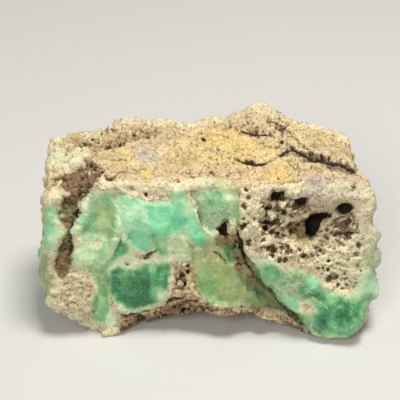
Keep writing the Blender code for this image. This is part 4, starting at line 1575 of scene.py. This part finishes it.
@dataclass(frozen=True)
class HiddenSides:
    """Back, flanks and underside: broken host rock with green masses, stains, pits and cracks.

    Green shows where a broad noise is high, below the sandy crust. The green patches raise the
    noise where the seen green must run on round an edge, and on the back.
    """

    green: tuple[Patch, ...] = (
        Patch((50, 2, 12), (12, 24, 13)),
        Patch((-53, -2, 22), (9, 13, 15)),
        Patch((-14, 26, 20), (20, 12, 11)),
        Patch((27, 24, 33), (13, 12, 8)),
        Patch((22, 24, 7), (34, 12, 6)),
    )
    cavities: tuple[Patch, ...] = (
        Patch((12, 25, 27), (5.4, 9, 3.4)),
        Patch((-37, 22, 28), (3.6, 9, 5.4)),
        Patch((41, 17, 18), (4.0, 9, 4.0)),
        Patch((-2, 26, 40), (7.0, 9, 2.4)),
        Patch((53, 6, 34), (9, 4.8, 3.2)),
        Patch((-53, 9, 14), (9, 3.6, 4.4)),
    )
    crust: tuple[float, float] = (30.0, 44.0)
    facets: tuple[tuple[float, float], ...] = ((14.0, 2.5), (6.0, 1.0))
    green_size: float = 19.0
    bluish_size: float = 24.0
    stain_size: float = 17.0
    sponge_size: float = 16.0
    green_share: float = 0.42
    crust_share: float = 0.5
    swell: float = 0.6
    cavity_depth: float = 3.4
    crack_size: float = 19.0
    crack_depth: float = 0.9
    crack_stretch: float = 30.0

    def lay_green(self, skin: Skin, places: np.ndarray, hidden: np.ndarray) -> None:
        """Lays the green masses, milky at their borders and deep in their middles.

        Args:
            skin: the skin to work on.
            places: the points in metres, with their own wander.
            hidden: 1 where the photograph does not show the stone.
        """
        crust = smooth_step(self.crust[0] * MM, self.crust[1] * MM, places[:, 2])
        amount = Grain(35).fractal(places, self.green_size, 3) * 0.8 - self.green_share
        amount -= self.crust_share * crust
        amount += sum(patch.weight(places) for patch in self.green) * 0.8
        shown = smooth_step(0.0, 0.16, amount) * hidden
        skin.paint(Tint(green=1.0, tone=0.18, aqua=-0.5, milk=0.45, pale=0.0), shown)
        skin.paint(Tint(tone=0.8, milk=0.0), shown * smooth_step(0.1, 0.6, amount))
        bluish = smooth_step(-0.2, 0.3, Grain(36).fractal(places, self.bluish_size, 2))
        skin.paint(Tint(aqua=0.7), shown * bluish)
        skin.sink -= smooth_step(0.0, 0.3, amount) * self.swell * MM * hidden

    def work(self, skin: Skin, wander: np.ndarray) -> None:
        """Breaks the hidden sides into facets, then lays green, stains, cavities and cracks, with painted
        shade in the cavities and cracks.

        A facet is a random plane through the nearest scattered seed, fading out at its border.
        A crack is where a broad noise crosses zero.

        Args:
            skin: the skin to work on.
            wander: a random move for every point, in metres.
        """
        hidden = 1.0 - skin.seen
        places = skin.points + wander
        skin.paint(Tint(pale=0.5, grey=0.1), hidden)
        for seed, (size, depth) in enumerate(self.facets, 31):
            cells = Grain(seed).cells(places, size)
            plane = cells.tilt * smooth_step(0.0, 0.1, cells.second - cells.near)
            skin.sink += plane * depth * MM * hidden
        stained = smooth_step(0.1, 0.6, Grain(37).fractal(places, self.stain_size, 3)) * hidden
        skin.paint(Tint(ochre=0.8), stained)
        spongy = smooth_step(0.0, 0.35, Grain(38).fractal(places, self.sponge_size, 3)) * hidden
        skin.paint(Tint(porous=1.0, brown=0.3), spongy)
        self.lay_green(skin, places, hidden)
        for patch in self.cavities:
            hollow = smooth_step(0.30, 0.62, patch.weight(places)) * hidden
            skin.sink += hollow * self.cavity_depth * MM
            # the cavities are browned and blackened as painted shade
            skin.paint(Tint(dark=0.85, brown=1.0, green=0.0), hollow)
        ridge = np.abs(Grain(33).fractal(places, self.crack_size, 3))
        broken = smooth_step(-0.1, 0.25, Grain(34).fractal(places, self.crack_stretch, 1))
        crack = smooth_step(0.030, 0.004, ridge) * broken * hidden
        skin.sink += crack * self.crack_depth * MM
        # the cracks are browned and blackened as painted shade
        skin.paint(Tint(dark=0.75, brown=0.9), crack)


@dataclass(frozen=True)
class Roughness:
    """The fine relief of the two stuffs, gritty, pitted host rock and smooth waxy chrysoprase, and the shade
    and highlight painted by how hollow it is.
    """

    grit: tuple[float, float] = (1.0, 0.34)
    lumps: tuple[float, float] = (3.6, 0.85)
    bedding: Place = (0.42, 1.0, 0.7)
    waxy: tuple[float, float] = (7.0, 0.50)
    scars: tuple[float, float] = (8.5, 2.2)
    bends: tuple[float, float] = (9.0, 2.2)
    loose_size: float = 12.0
    flakes: tuple[float, float] = (4.4, 0.34)
    pits: tuple[Place, ...] = ((4.4, 1.5, 0.36), (2.4, 1.1, 0.42), (1.3, 0.6, 0.5))
    crumbs: tuple[float, float] = (1.7, 1.0)
    dirt_rounds: tuple[Place, ...] = ((14, 1.0, 0.65), (4, 0.4, 0.3))
    dirt_depth: tuple[float, float] = (0.04, 0.42)
    dust_height: tuple[float, float] = (0.03, 0.30)

    def settle_dirt(self, skin: Skin) -> None:
        """Paints shade by browning what lies deep, and paints highlight by paling what stands out, by how
        hollow the skin is.

        Args:
            skin: the skin with its relief already pressed.
        """
        rock = 1.0 - 0.75 * np.clip(skin.masks["green"], 0.0, 1.0)
        for rounds, scale, strength in self.dirt_rounds:
            depth = skin.hollowness(rounds) / scale
            # painted shade: browner in the hollows
            skin.paint(Tint(brown=0.85), smooth_step(*self.dirt_depth, depth) * strength * rock)
            # painted highlight: paler and milkier on what stands out
            skin.paint(Tint(pale=0.9, milk=0.7), smooth_step(*self.dust_height, -depth) * strength * 0.5)

    def pores(self, points: np.ndarray, size: float, seed: int, share: float) -> np.ndarray:
        """Ragged pits of mixed width at scattered seeds, where a seed's own number lets one be.

        The places are first swirled by a noise finer than the cells.

        Args:
            points: places in metres.
            size: cell side in millimetres.
            seed: the noise's seed.
            share: how many of the cells have a pit, from 0 to 1.

        Returns:
            0 outside the pits, up to 1 on the floors of the widest.
        """
        swirl = [Grain(seed + 40 + axis).fractal(points, size * 0.55, 2) for axis in range(3)]
        cells = Grain(seed).cells(points + np.stack(swirl, axis=1) * size * 0.26 * MM, size)
        rank = np.clip(1.0 - (cells.own + 1.0) / (2.0 * share), 0.0, 1.0)
        wide = 0.26 + 0.34 * rank
        pit = smooth_step(1.0, 0.35, cells.near / wide) * (0.5 + 0.5 * rank)
        return np.where(rank > 0.0, pit, 0.0)

    def work(self, skin: Skin) -> None:
        """Adds grit, lumps, pores and crumbs by what each place is made of, and paints shade into the pores
        and the gaps between crumbs.

        Args:
            skin: the skin to work on.
        """
        points = skin.points
        masks = skin.masks
        rock = 1.0 - np.clip(masks["green"], 0.0, 1.0)
        porous = np.clip(masks["porous"], 0.0, 1.0)
        gritty = rock * (0.45 + 0.45 * smooth_step(0.0, 0.6, porous)) + 0.1
        skin.sink += Grain(11).fractal(points, self.grit[0], 2) * self.grit[1] * MM * gritty
        bedded = points * np.array(self.bedding)
        skin.sink += Grain(12).fractal(bedded, self.lumps[0], 3) * self.lumps[1] * MM * (rock * 0.75 + 0.25)
        skin.sink += Grain(13).fractal(points, self.waxy[0], 2) * self.waxy[1] * MM * (1.0 - rock)
        size, bend = self.bends
        bends = np.stack([Grain(20 + axis).fractal(points, size, 2) for axis in range(3)], axis=1)
        scars = Grain(19).cells(points + bends * bend * MM, self.scars[0])
        skin.sink += (0.3 - scars.near**2) * self.scars[1] * MM * (0.9 - 0.6 * rock)
        flakes = Grain(14).cells(points, self.flakes[0])
        plane = flakes.tilt * smooth_step(0.0, 0.4, flakes.second - flakes.near)
        skin.sink += plane * self.flakes[1] * MM * (1.0 + 1.2 * rock)
        loose = smooth_step(0.1, 0.5, Grain(15).fractal(points, self.loose_size, 2)) * rock * 0.5
        amount = np.maximum(porous, loose)
        for seed, (size, depth, share) in enumerate(self.pits, 16):
            least = size * 0.14
            pit = self.pores(points, size, seed * 5, share) * smooth_step(least, least + 0.4, amount) * rock
            skin.sink += pit * depth * MM
            # the pits are browned and blackened, painted shade in their floors
            skin.paint(Tint(brown=0.75, dark=0.6), pit * 0.85)
        crumbs = Grain(18).cells(points, self.crumbs[0])
        broken = (crumbs.near - 0.45) * np.clip(masks["brown"] * porous, 0.0, 1.0)
        skin.sink += broken * self.crumbs[1] * 2.0 * MM
        # painted shade: near black in the gaps between crumbs
        skin.paint(Tint(dark=0.8), smooth_step(0.12, 0.35, broken))


def linear(colour: Colour) -> tuple[float, float, float, float]:
    """A display colour of 0 to 255 as scene-linear red, green, blue and alpha.

    Args:
        colour: red, green and blue as a screen shows them.

    Returns:
        Four numbers from 0 to 1.
    """
    parts = [part / 255.0 for part in colour]
    curve = [part / 12.92 if part <= 0.04045 else ((part + 0.055) / 1.055) ** 2.4 for part in parts]
    return curve[0], curve[1], curve[2], 1.0


class Wire:
    """A shader socket that Python's arithmetic works on, by adding Math nodes."""

    def __init__(self, bench: "Bench", socket: bpy.types.NodeSocket) -> None:
        """Keeps the socket and the bench that it belongs to."""
        self.bench = bench
        self.socket = socket

    def math(self, operation: str, first: "Value", second: "Value" = 0.0) -> "Wire":
        """One Math node on this wire's bench."""
        return self.bench.node("ShaderNodeMath", {"operation": operation}, {0: first, 1: second})

    def __add__(self, other: "Value") -> "Wire":
        """Wire plus value."""
        return self.math("ADD", self, other)

    __radd__ = __add__

    def __mul__(self, other: "Value") -> "Wire":
        """Wire times value."""
        return self.math("MULTIPLY", self, other)

    __rmul__ = __mul__

    def __sub__(self, other: "Value") -> "Wire":
        """Wire minus value."""
        return self.math("SUBTRACT", self, other)

    def __rsub__(self, other: "Value") -> "Wire":
        """Value minus wire."""
        return self.math("SUBTRACT", other, self)

    def clamped(self) -> "Wire":
        """The wire held between 0 and 1."""
        return self.bench.node("ShaderNodeClamp", {}, {0: self})

    def ramp(self, low: float, high: float) -> "Wire":
        """An S-shaped ramp from 0 at low to 1 at high."""
        settings = {"interpolation_type": "SMOOTHSTEP"}
        return self.bench.node("ShaderNodeMapRange", settings, {0: self, 1: low, 2: high})


Value = Wire | float | Colour | tuple[float, float, float, float]


class Bench:
    """A material's node tree, and short ways to add to it."""

    def __init__(self, name: str) -> None:
        """Makes an empty node material.

        Args:
            name: the material's name.
        """
        self.material = bpy.data.materials.new(name)
        self.material.use_nodes = True
        self.tree = self.material.node_tree
        self.tree.nodes.clear()
        self.place = self.node("ShaderNodeTexCoord", {}, {}, "Object")

    def node(self, kind: str, settings: dict, inputs: dict, output: int | str = 0) -> Wire:
        """Adds a node.

        Args:
            kind: the node's type.
            settings: what is set on the node first; "stops" holds a ramp's places and colours.
            inputs: a value or a wire for each socket, by its name or number.
            output: the socket that the wire starts from, by its name or number.

        Returns:
            A wire from that socket.
        """
        node = self.tree.nodes.new(kind)
        for name, value in settings.items():
            if name == "stops":
                self.set_stops(node.color_ramp, value)
            else:
                setattr(node, name, value)
        for name, value in inputs.items():
            if isinstance(value, Wire):
                self.tree.links.new(value.socket, node.inputs[name])
            else:
                node.inputs[name].default_value = value
        return Wire(self, node.outputs[output])

    def set_stops(self, ramp: bpy.types.ColorRamp, stops: tuple) -> None:
        """Puts a colour ramp's stops in place.

        Args:
            ramp: the ramp to change.
            stops: pairs of a place from 0 to 1 and a linear colour.
        """
        while len(ramp.elements) < len(stops):
            ramp.elements.new(1.0)
        for element, (place, colour) in zip(ramp.elements, stops):
            element.position = place
            element.color = colour

    def noise(self, size: float, detail: float = 2.0, distortion: float = 0.0) -> Wire:
        """Fractal noise with bumps of a size in millimetres.

        Args:
            size: size of the largest bumps.
            detail: how many finer sizes are added.
            distortion: how much the noise is swirled.

        Returns:
            A wire from 0 to 1, mostly near 0.5.
        """
        scale = {"Vector": self.place, "Scale": 1.0 / (size * MM)}
        inputs = scale | {"Detail": detail, "Distortion": distortion}
        return self.node("ShaderNodeTexNoise", {}, inputs, "Fac")

    def scattered(self, size: float, output: str = "Distance") -> Wire:
        """Cell noise with cells of a size in millimetres."""
        inputs = {"Vector": self.place, "Scale": 1.0 / (size * MM)}
        return self.node("ShaderNodeTexVoronoi", {}, inputs, output)

    def mask(self, name: str) -> Wire:
        """One of the skin's masks, read from its point attribute."""
        return self.node("ShaderNodeAttribute", {"attribute_name": name}, {}, "Fac")

    def mix(self, factor: Value, first: Value, second: Value) -> Wire:
        """A blend of two colours.

        Args:
            factor: 0 for the first colour, 1 for the second.
            first: a colour or wire.
            second: a colour or wire.

        Returns:
            A colour wire.
        """
        return self.node("ShaderNodeMix", {"data_type": "RGBA"}, {0: factor, 6: first, 7: second}, 2)

    def layered(self, base: Value, layers: tuple[tuple[Value, Colour], ...]) -> Wire:
        """Colours laid over a base one after another.

        Args:
            base: the lowest colour or wire.
            layers: how much of each next colour shows, and the display colour.

        Returns:
            A colour wire.
        """
        for amount, colour in layers:
            base = self.mix(amount, base, linear(colour))
        return base

    def bump(self, height: Wire, distance: float, strength: float) -> Wire:
        """A normal bent by a height from 0 to 1 that stands for a distance in millimetres."""
        inputs = {"Height": height, "Distance": distance * MM, "Strength": strength}
        return self.node("ShaderNodeBump", {}, inputs, "Normal")

    def finished(self, shader: Wire) -> bpy.types.Material:
        """The material, once this shader is its surface."""
        output = self.tree.nodes.new("ShaderNodeOutputMaterial")
        self.tree.links.new(shader.socket, output.inputs["Surface"])
        return self.material


@dataclass(frozen=True)
class HostRock:
    """The finish of the weathered host rock: matt, sandy, cream to tan with rusty stains."""

    tan: Colour = (186, 160, 112)
    sand: Colour = (218, 196, 146)
    cream: Colour = (228, 218, 180)
    pink: Colour = (204, 174, 142)
    ochre: Colour = (224, 196, 118)
    rust: Colour = (214, 174, 108)
    brown: Colour = (122, 96, 68)
    umber: Colour = (66, 46, 30)
    grey: Colour = (186, 178, 164)
    leached: Colour = (204, 210, 170)
    chalk: Colour = (242, 236, 212)
    # near black, for the painted shade in holes, cracks and crevices
    black: Colour = (20, 14, 10)
    roughness: float = 0.92

    def colour(self, bench: Bench) -> Wire:
        """Blends the rock's colours by the masks and by sandy speckle.

        Args:
            bench: the node tree to add to.

        Returns:
            The colour wire.
        """
        blotch = bench.noise(6.0, 3.0)
        sandy = bench.noise(0.8, 2.0)
        fine = bench.noise(0.36, 1.0)
        grain = bench.scattered(0.5, "Color")
        speckle = sandy - 0.5
        pale = bench.mask("pale") + speckle * 0.9
        ochre = bench.mask("ochre") + (blotch - 0.5) * 0.7 + speckle * 0.6
        crumbs = bench.noise(1.6, 4.0, 0.3)
        specks = (0.38 - grain).ramp(0.0, 0.16) * bench.noise(3.5, 3.0).ramp(0.36, 0.62)
        brown = bench.mask("brown") + speckle * 0.7 + (0.5 - grain) * 0.3
        return bench.layered(linear(self.tan), (
            ((blotch + sandy * 0.6 - 0.3).ramp(0.35, 0.75), self.sand),
            (bench.noise(9.0, 2.0, 0.5).ramp(0.5, 0.72) * 0.6, self.pink),
            (pale.ramp(0.15, 0.95), self.cream),
            (ochre.ramp(0.2, 0.95), self.ochre),
            ((ochre + sandy * 0.5).ramp(1.05, 1.6) * 0.6, self.rust),
            ((bench.mask("grey") + speckle * 0.6).ramp(0.1, 0.9), self.grey),
            ((bench.mask("green") + speckle * 0.5).ramp(0.0, 0.6) * 0.6, self.leached),
            ((0.5 - crumbs).ramp(0.02, 0.2) * 0.5, self.brown),
            ((0.5 - fine).ramp(0.02, 0.22) * 0.55, self.brown),
            (specks * 0.6, self.brown),
            ((grain - 0.6).ramp(0.0, 0.3) * 0.35, self.chalk),
            (brown.ramp(0.1, 0.95), self.brown),
            ((brown + (fine - 0.5)).ramp(0.75, 1.5) * 0.8, self.umber),
            # painted shade: near black where the shade mask is high
            ((bench.mask("dark") + speckle * 0.5).ramp(0.2, 0.95) * 0.94, self.black),
        ))

    def normal(self, bench: Bench) -> Wire:
        """Sandy grains of two sizes."""
        height = bench.noise(0.75, 3.0) * 0.7 + bench.noise(0.3, 1.0) * 0.3
        return bench.bump(height, 0.32, 0.9)


@dataclass(frozen=True)
class Chrysoprase:
    """The finish of the green chalcedony: waxy, softly graded and a little translucent."""

    mint: Colour = (200, 222, 174)
    apple: Colour = (136, 194, 134)
    emerald: Colour = (74, 152, 98)
    deepest: Colour = (36, 104, 62)
    teal: Colour = (112, 214, 166)
    deep_teal: Colour = (52, 150, 106)
    olive: Colour = (166, 168, 94)
    milk: Colour = (222, 230, 196)
    cloud: Colour = (206, 212, 186)
    roughness: float = 0.36
    glow: float = 0.22
    glow_radius: Place = (0.5, 1.0, 0.7)
    glow_scale: float = 0.0022
    ior: float = 1.54

    def colour(self, bench: Bench) -> Wire:
        """Grades the green by the masks, soft mottling, clouds and fine flecks.

        Args:
            bench: the node tree to add to.

        Returns:
            The colour wire.
        """
        mottle = bench.noise(4.5, 3.0, 0.6)
        wisps = bench.noise(1.4, 3.0, 1.2)
        grain = bench.scattered(0.7, "Color") + bench.noise(0.5, 1.0) - 1.0
        tone = (bench.mask("tone") + (mottle - 0.5) * 0.95 + (wisps - 0.5) * 0.7 + grain * 0.22).clamped()
        stops = (
            (0.0, linear(self.mint)), (0.38, linear(self.apple)),
            (0.72, linear(self.emerald)), (1.0, linear(self.deepest)),
        )
        green = bench.node("ShaderNodeValToRGB", {"stops": stops}, {"Fac": tone}, "Color")
        teal = bench.mix(tone.ramp(0.3, 1.0), linear(self.teal), linear(self.deep_teal))
        aqua = bench.mask("aqua")
        green = bench.mix(aqua.ramp(0.0, 1.1) * 0.8, green, teal)
        border = bench.mask("green").ramp(1.0, 0.5) * bench.noise(3.0, 2.0).ramp(0.45, 0.65)
        milk = bench.mask("milk") + border * 0.5
        veil = (wisps + bench.noise(0.6, 2.0) * 0.5 + milk * 0.55).ramp(0.85, 1.25)
        flecks = bench.scattered(0.9).ramp(0.24, 0.08) * bench.noise(5.0, 1.0).ramp(0.45, 0.7)
        return bench.layered(green, (
            ((0.0 - aqua).ramp(0.0, 1.0) * 0.75, self.olive),
            (veil * (milk * 0.85 + 0.12).clamped(), self.milk),
            (flecks * 0.5, self.cloud),
            # browned by the brown mask, and near black as painted shade where the shade mask is high
            (bench.mask("brown").ramp(0.2, 1.0) * 0.7, HostRock.brown),
            (bench.mask("dark").ramp(0.2, 0.95), HostRock.black),
        ))

    def normal(self, bench: Bench) -> Wire:
        """Faint waxy ripples."""
        height = bench.noise(1.6, 2.0) * 0.7 + bench.noise(0.5, 1.0) * 0.3
        return bench.bump(height, 0.16, 0.6)


@dataclass(frozen=True)
class StoneFinish:
    """The whole stone's material: chrysoprase and host rock, told apart by the green mask."""

    rock: HostRock = HostRock()
    green: Chrysoprase = Chrysoprase()

    def material(self) -> bpy.types.Material:
        """Builds the material.

        Returns:
            The finished material.
        """
        bench = Bench("chrysoprase_in_host_rock")
        rock_inputs = {
            "Base Color": self.rock.colour(bench),
            "Roughness": self.rock.roughness,
            "Normal": self.rock.normal(bench),
        }
        rock = bench.node("ShaderNodeBsdfPrincipled", {}, rock_inputs)
        milk = bench.mask("milk")
        green_inputs = {
            "Base Color": self.green.colour(bench),
            "Roughness": (milk * 0.25 + self.green.roughness + bench.noise(1.2, 2.0) * 0.15).clamped(),
            "IOR": self.green.ior,
            "Subsurface Weight": self.green.glow,
            "Subsurface Radius": self.green.glow_radius,
            "Subsurface Scale": self.green.glow_scale,
            "Normal": self.green.normal(bench),
        }
        green = bench.node("ShaderNodeBsdfPrincipled", {}, green_inputs)
        ragged = (bench.noise(2.6, 6.0, 0.4) - 0.5) * 1.2 + (bench.noise(0.7, 2.0) - 0.5) * 0.9
        edge = bench.mask("green") + ragged
        stone = bench.node("ShaderNodeMixShader", {}, {0: edge.ramp(0.22, 0.62), 1: rock, 2: green})
        return bench.finished(stone)


@dataclass(frozen=True)
class Stone:
    """The specimen itself, as one closed piece."""

    name: str = "chrysoprase_stone"
    block: Block = Block()
    outline: Outline = Outline()
    hidden: HiddenSides = HiddenSides()
    roughness: Roughness = Roughness()
    finish: StoneFinish = StoneFinish()
    wander: tuple[tuple[float, float], ...] = ((4.5, 0.60), (1.5, 0.42), (0.7, 0.24))
    relaxing: int = 10
    triangles: int = 196000
    host_pale: float = 0.25
    hidden_wander: float = 3.0
    fit_rounds: tuple[int, int] = (3, 2)
    keep_levels: int = 5

    def wandering(self, points: np.ndarray) -> np.ndarray:
        """A small random move for every point, so that no drawn edge stays smooth.

        Args:
            points: places in metres.

        Returns:
            Moves in metres, one row each.
        """
        moves = np.zeros_like(points)
        for size, amount in self.wander:
            for axis in range(3):
                moves[:, axis] += Grain(50 + axis).fractal(points, size, 1) * amount * MM
        return moves

    def shape(self, view: PhotoView) -> Skin:
        """Works out the whole skin.

        Args:
            view: the camera that the photograph was taken with.

        Returns:
            The finished skin with its masks.
        """
        skin = self.block.build(view)
        self.outline.fit(skin, self.fit_rounds[0])
        moves = self.wandering(skin.points)
        skin.paint(Tint(pale=self.host_pale), np.ones(len(skin.points)))
        self.hidden.work(skin, moves * self.hidden_wander)
        pixels = skin.view.project(skin.points + moves)[0]
        for region in REGIONS:
            region.work(skin, pixels)
        skin.blend_masks(MASK_SPREAD)
        skin.press()
        skin.relax(self.relaxing)
        self.roughness.work(skin)
        skin.press()
        self.roughness.settle_dirt(skin)
        self.outline.fit(skin, self.fit_rounds[1])
        skin.points[:, 2] = np.maximum(skin.points[:, 2], 0.0)
        return skin

    def build(self, view: PhotoView) -> bpy.types.Object:
        """Makes the mesh, thins its flat parts, and hands the piece to the frame.

        Args:
            view: the camera that the photograph was taken with.

        Returns:
            The finished piece.
        """
        skin = self.shape(view)
        mesh = bpy.data.meshes.new(self.name)
        mesh.from_pydata(skin.points.tolist(), [], skin.quads.tolist())
        for name, values in skin.masks.items():
            layer = mesh.attributes.new(name, "FLOAT", "POINT")
            layer.data.foreach_set("value", np.clip(values, -1.0, 1.0).astype(np.float32))
        piece = bpy.data.objects.new(self.name, mesh)
        bpy.context.scene.collection.objects.link(piece)
        if len(skin.quads) * 2 > self.triangles:
            self.thin(piece, skin.seen, self.triangles / (len(skin.quads) * 2))
        piece.data.shade_smooth()
        piece.data.materials.append(self.finish.material())
        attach(piece, BODY)
        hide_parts(NODE)
        return piece

    def thin(self, piece: bpy.types.Object, keep: np.ndarray, ratio: float) -> None:
        """Drops the triangles that carry least, so that flat places are coarse and pits stay fine.

        Args:
            piece: the piece to thin.
            keep: 1 for points that should stay finer than the rest.
            ratio: the share of triangles to keep.
        """
        fine = piece.vertex_groups.new(name="fine")
        steps = np.round(np.clip(keep, 0.0, 1.0) * (self.keep_levels - 1)).astype(int)
        for step in range(self.keep_levels):
            weight = 1.0 - step / self.keep_levels
            fine.add(np.flatnonzero(steps == step).tolist(), weight, "REPLACE")
        thinner = piece.modifiers.new("thin", "DECIMATE")
        thinner.ratio = ratio
        thinner.vertex_group = fine.name
        thinner.vertex_group_factor = 1.0
        graph = bpy.context.evaluated_depsgraph_get()
        thin_mesh = bpy.data.meshes.new_from_object(piece.evaluated_get(graph))
        piece.modifiers.clear()
        piece.vertex_groups.clear()
        piece.data = thin_mesh


@dataclass(frozen=True)
class SoftLight:
    """A square studio light: where it hangs, what it points at, its side and its power."""

    name: str
    place: Place
    aim: Place
    side: float
    watts: float
    colour: Colour = (255, 255, 255)

    def hang(self) -> None:
        """Makes the light and turns it towards its aim."""
        data = bpy.data.lights.new(self.name, "AREA")
        data.size = self.side
        data.energy = self.watts
        data.color = linear(self.colour)[:3]
        light = bpy.data.objects.new(self.name, data)
        light.location = self.place
        away = np.array(self.aim) - np.array(self.place)
        yaw = math.atan2(away[0], -away[1])
        light.rotation_euler = (math.atan2(math.hypot(away[0], away[1]), -away[2]), 0.0, yaw + math.pi)
        bpy.context.scene.collection.objects.link(light)


@dataclass(frozen=True)
class Studio:
    """Plain pale floor, soft light from above and a little behind, and a pale surround."""

    floor_side: float = 6.0
    floor_colour: Colour = (206, 206, 203)
    floor_shade: Colour = (196, 196, 196)
    floor_blotches: float = 0.06
    floor_roughness: float = 0.8
    surround: Colour = (226, 228, 232)
    surround_strength: float = 0.20
    lights: tuple[SoftLight, ...] = (
        SoftLight("overhead", (0.14, 0.02, 0.80), (0.0, 0.0, 0.03), 0.26, 6.0, (255, 251, 245)),
        SoftLight("front_fill", (-0.30, -0.80, 0.72), (0.0, 0.0, 0.02), 0.50, 5.8, (255, 252, 247)),
    )

    def build_floor(self) -> None:
        """Lays a flat sheet just under the stone."""
        half = self.floor_side / 2.0
        corners = [(-half, -half, 0.0), (half, -half, 0.0), (half, half, 0.0), (-half, half, 0.0)]
        mesh = bpy.data.meshes.new("floor")
        mesh.from_pydata(corners, [], [(0, 1, 2, 3)])
        floor = bpy.data.objects.new("floor", mesh)
        bench = Bench("pale_paper")
        blotches = bench.noise(40.0, 2.0) * self.floor_blotches
        tone = bench.mix(blotches, linear(self.floor_colour), linear(self.floor_shade))
        inputs = {"Base Color": tone, "Roughness": self.floor_roughness}
        paper = bench.node("ShaderNodeBsdfPrincipled", {}, inputs)
        mesh.materials.append(bench.finished(paper))
        bpy.context.scene.collection.objects.link(floor)

    def build(self) -> None:
        """Lays the floor, hangs the lights and colours the surround."""
        self.build_floor()
        for light in self.lights:
            light.hang()
        world = bpy.data.worlds.new("surround")
        world.use_nodes = True
        background = world.node_tree.nodes["Background"]
        background.inputs["Color"].default_value = linear(self.surround)
        background.inputs["Strength"].default_value = self.surround_strength
        bpy.context.scene.world = world
        bpy.context.scene.view_settings.view_transform = "Standard"


def main() -> None:
    """Builds the stone, the studio and the camera, and reports each."""
    logging.basicConfig(level=logging.INFO, format="%(message)s")
    view = PhotoView()
    piece = Stone().build(view)
    log.info("stone: %d points, %d faces", len(piece.data.vertices), len(piece.data.polygons))
    Studio().build()
    log.info("studio: floor, lights and surround")
    view.place_camera()
    log.info("camera: %.0f degrees above the floor", view.elevation)


if __name__ == "__main__":
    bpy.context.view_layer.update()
    main()
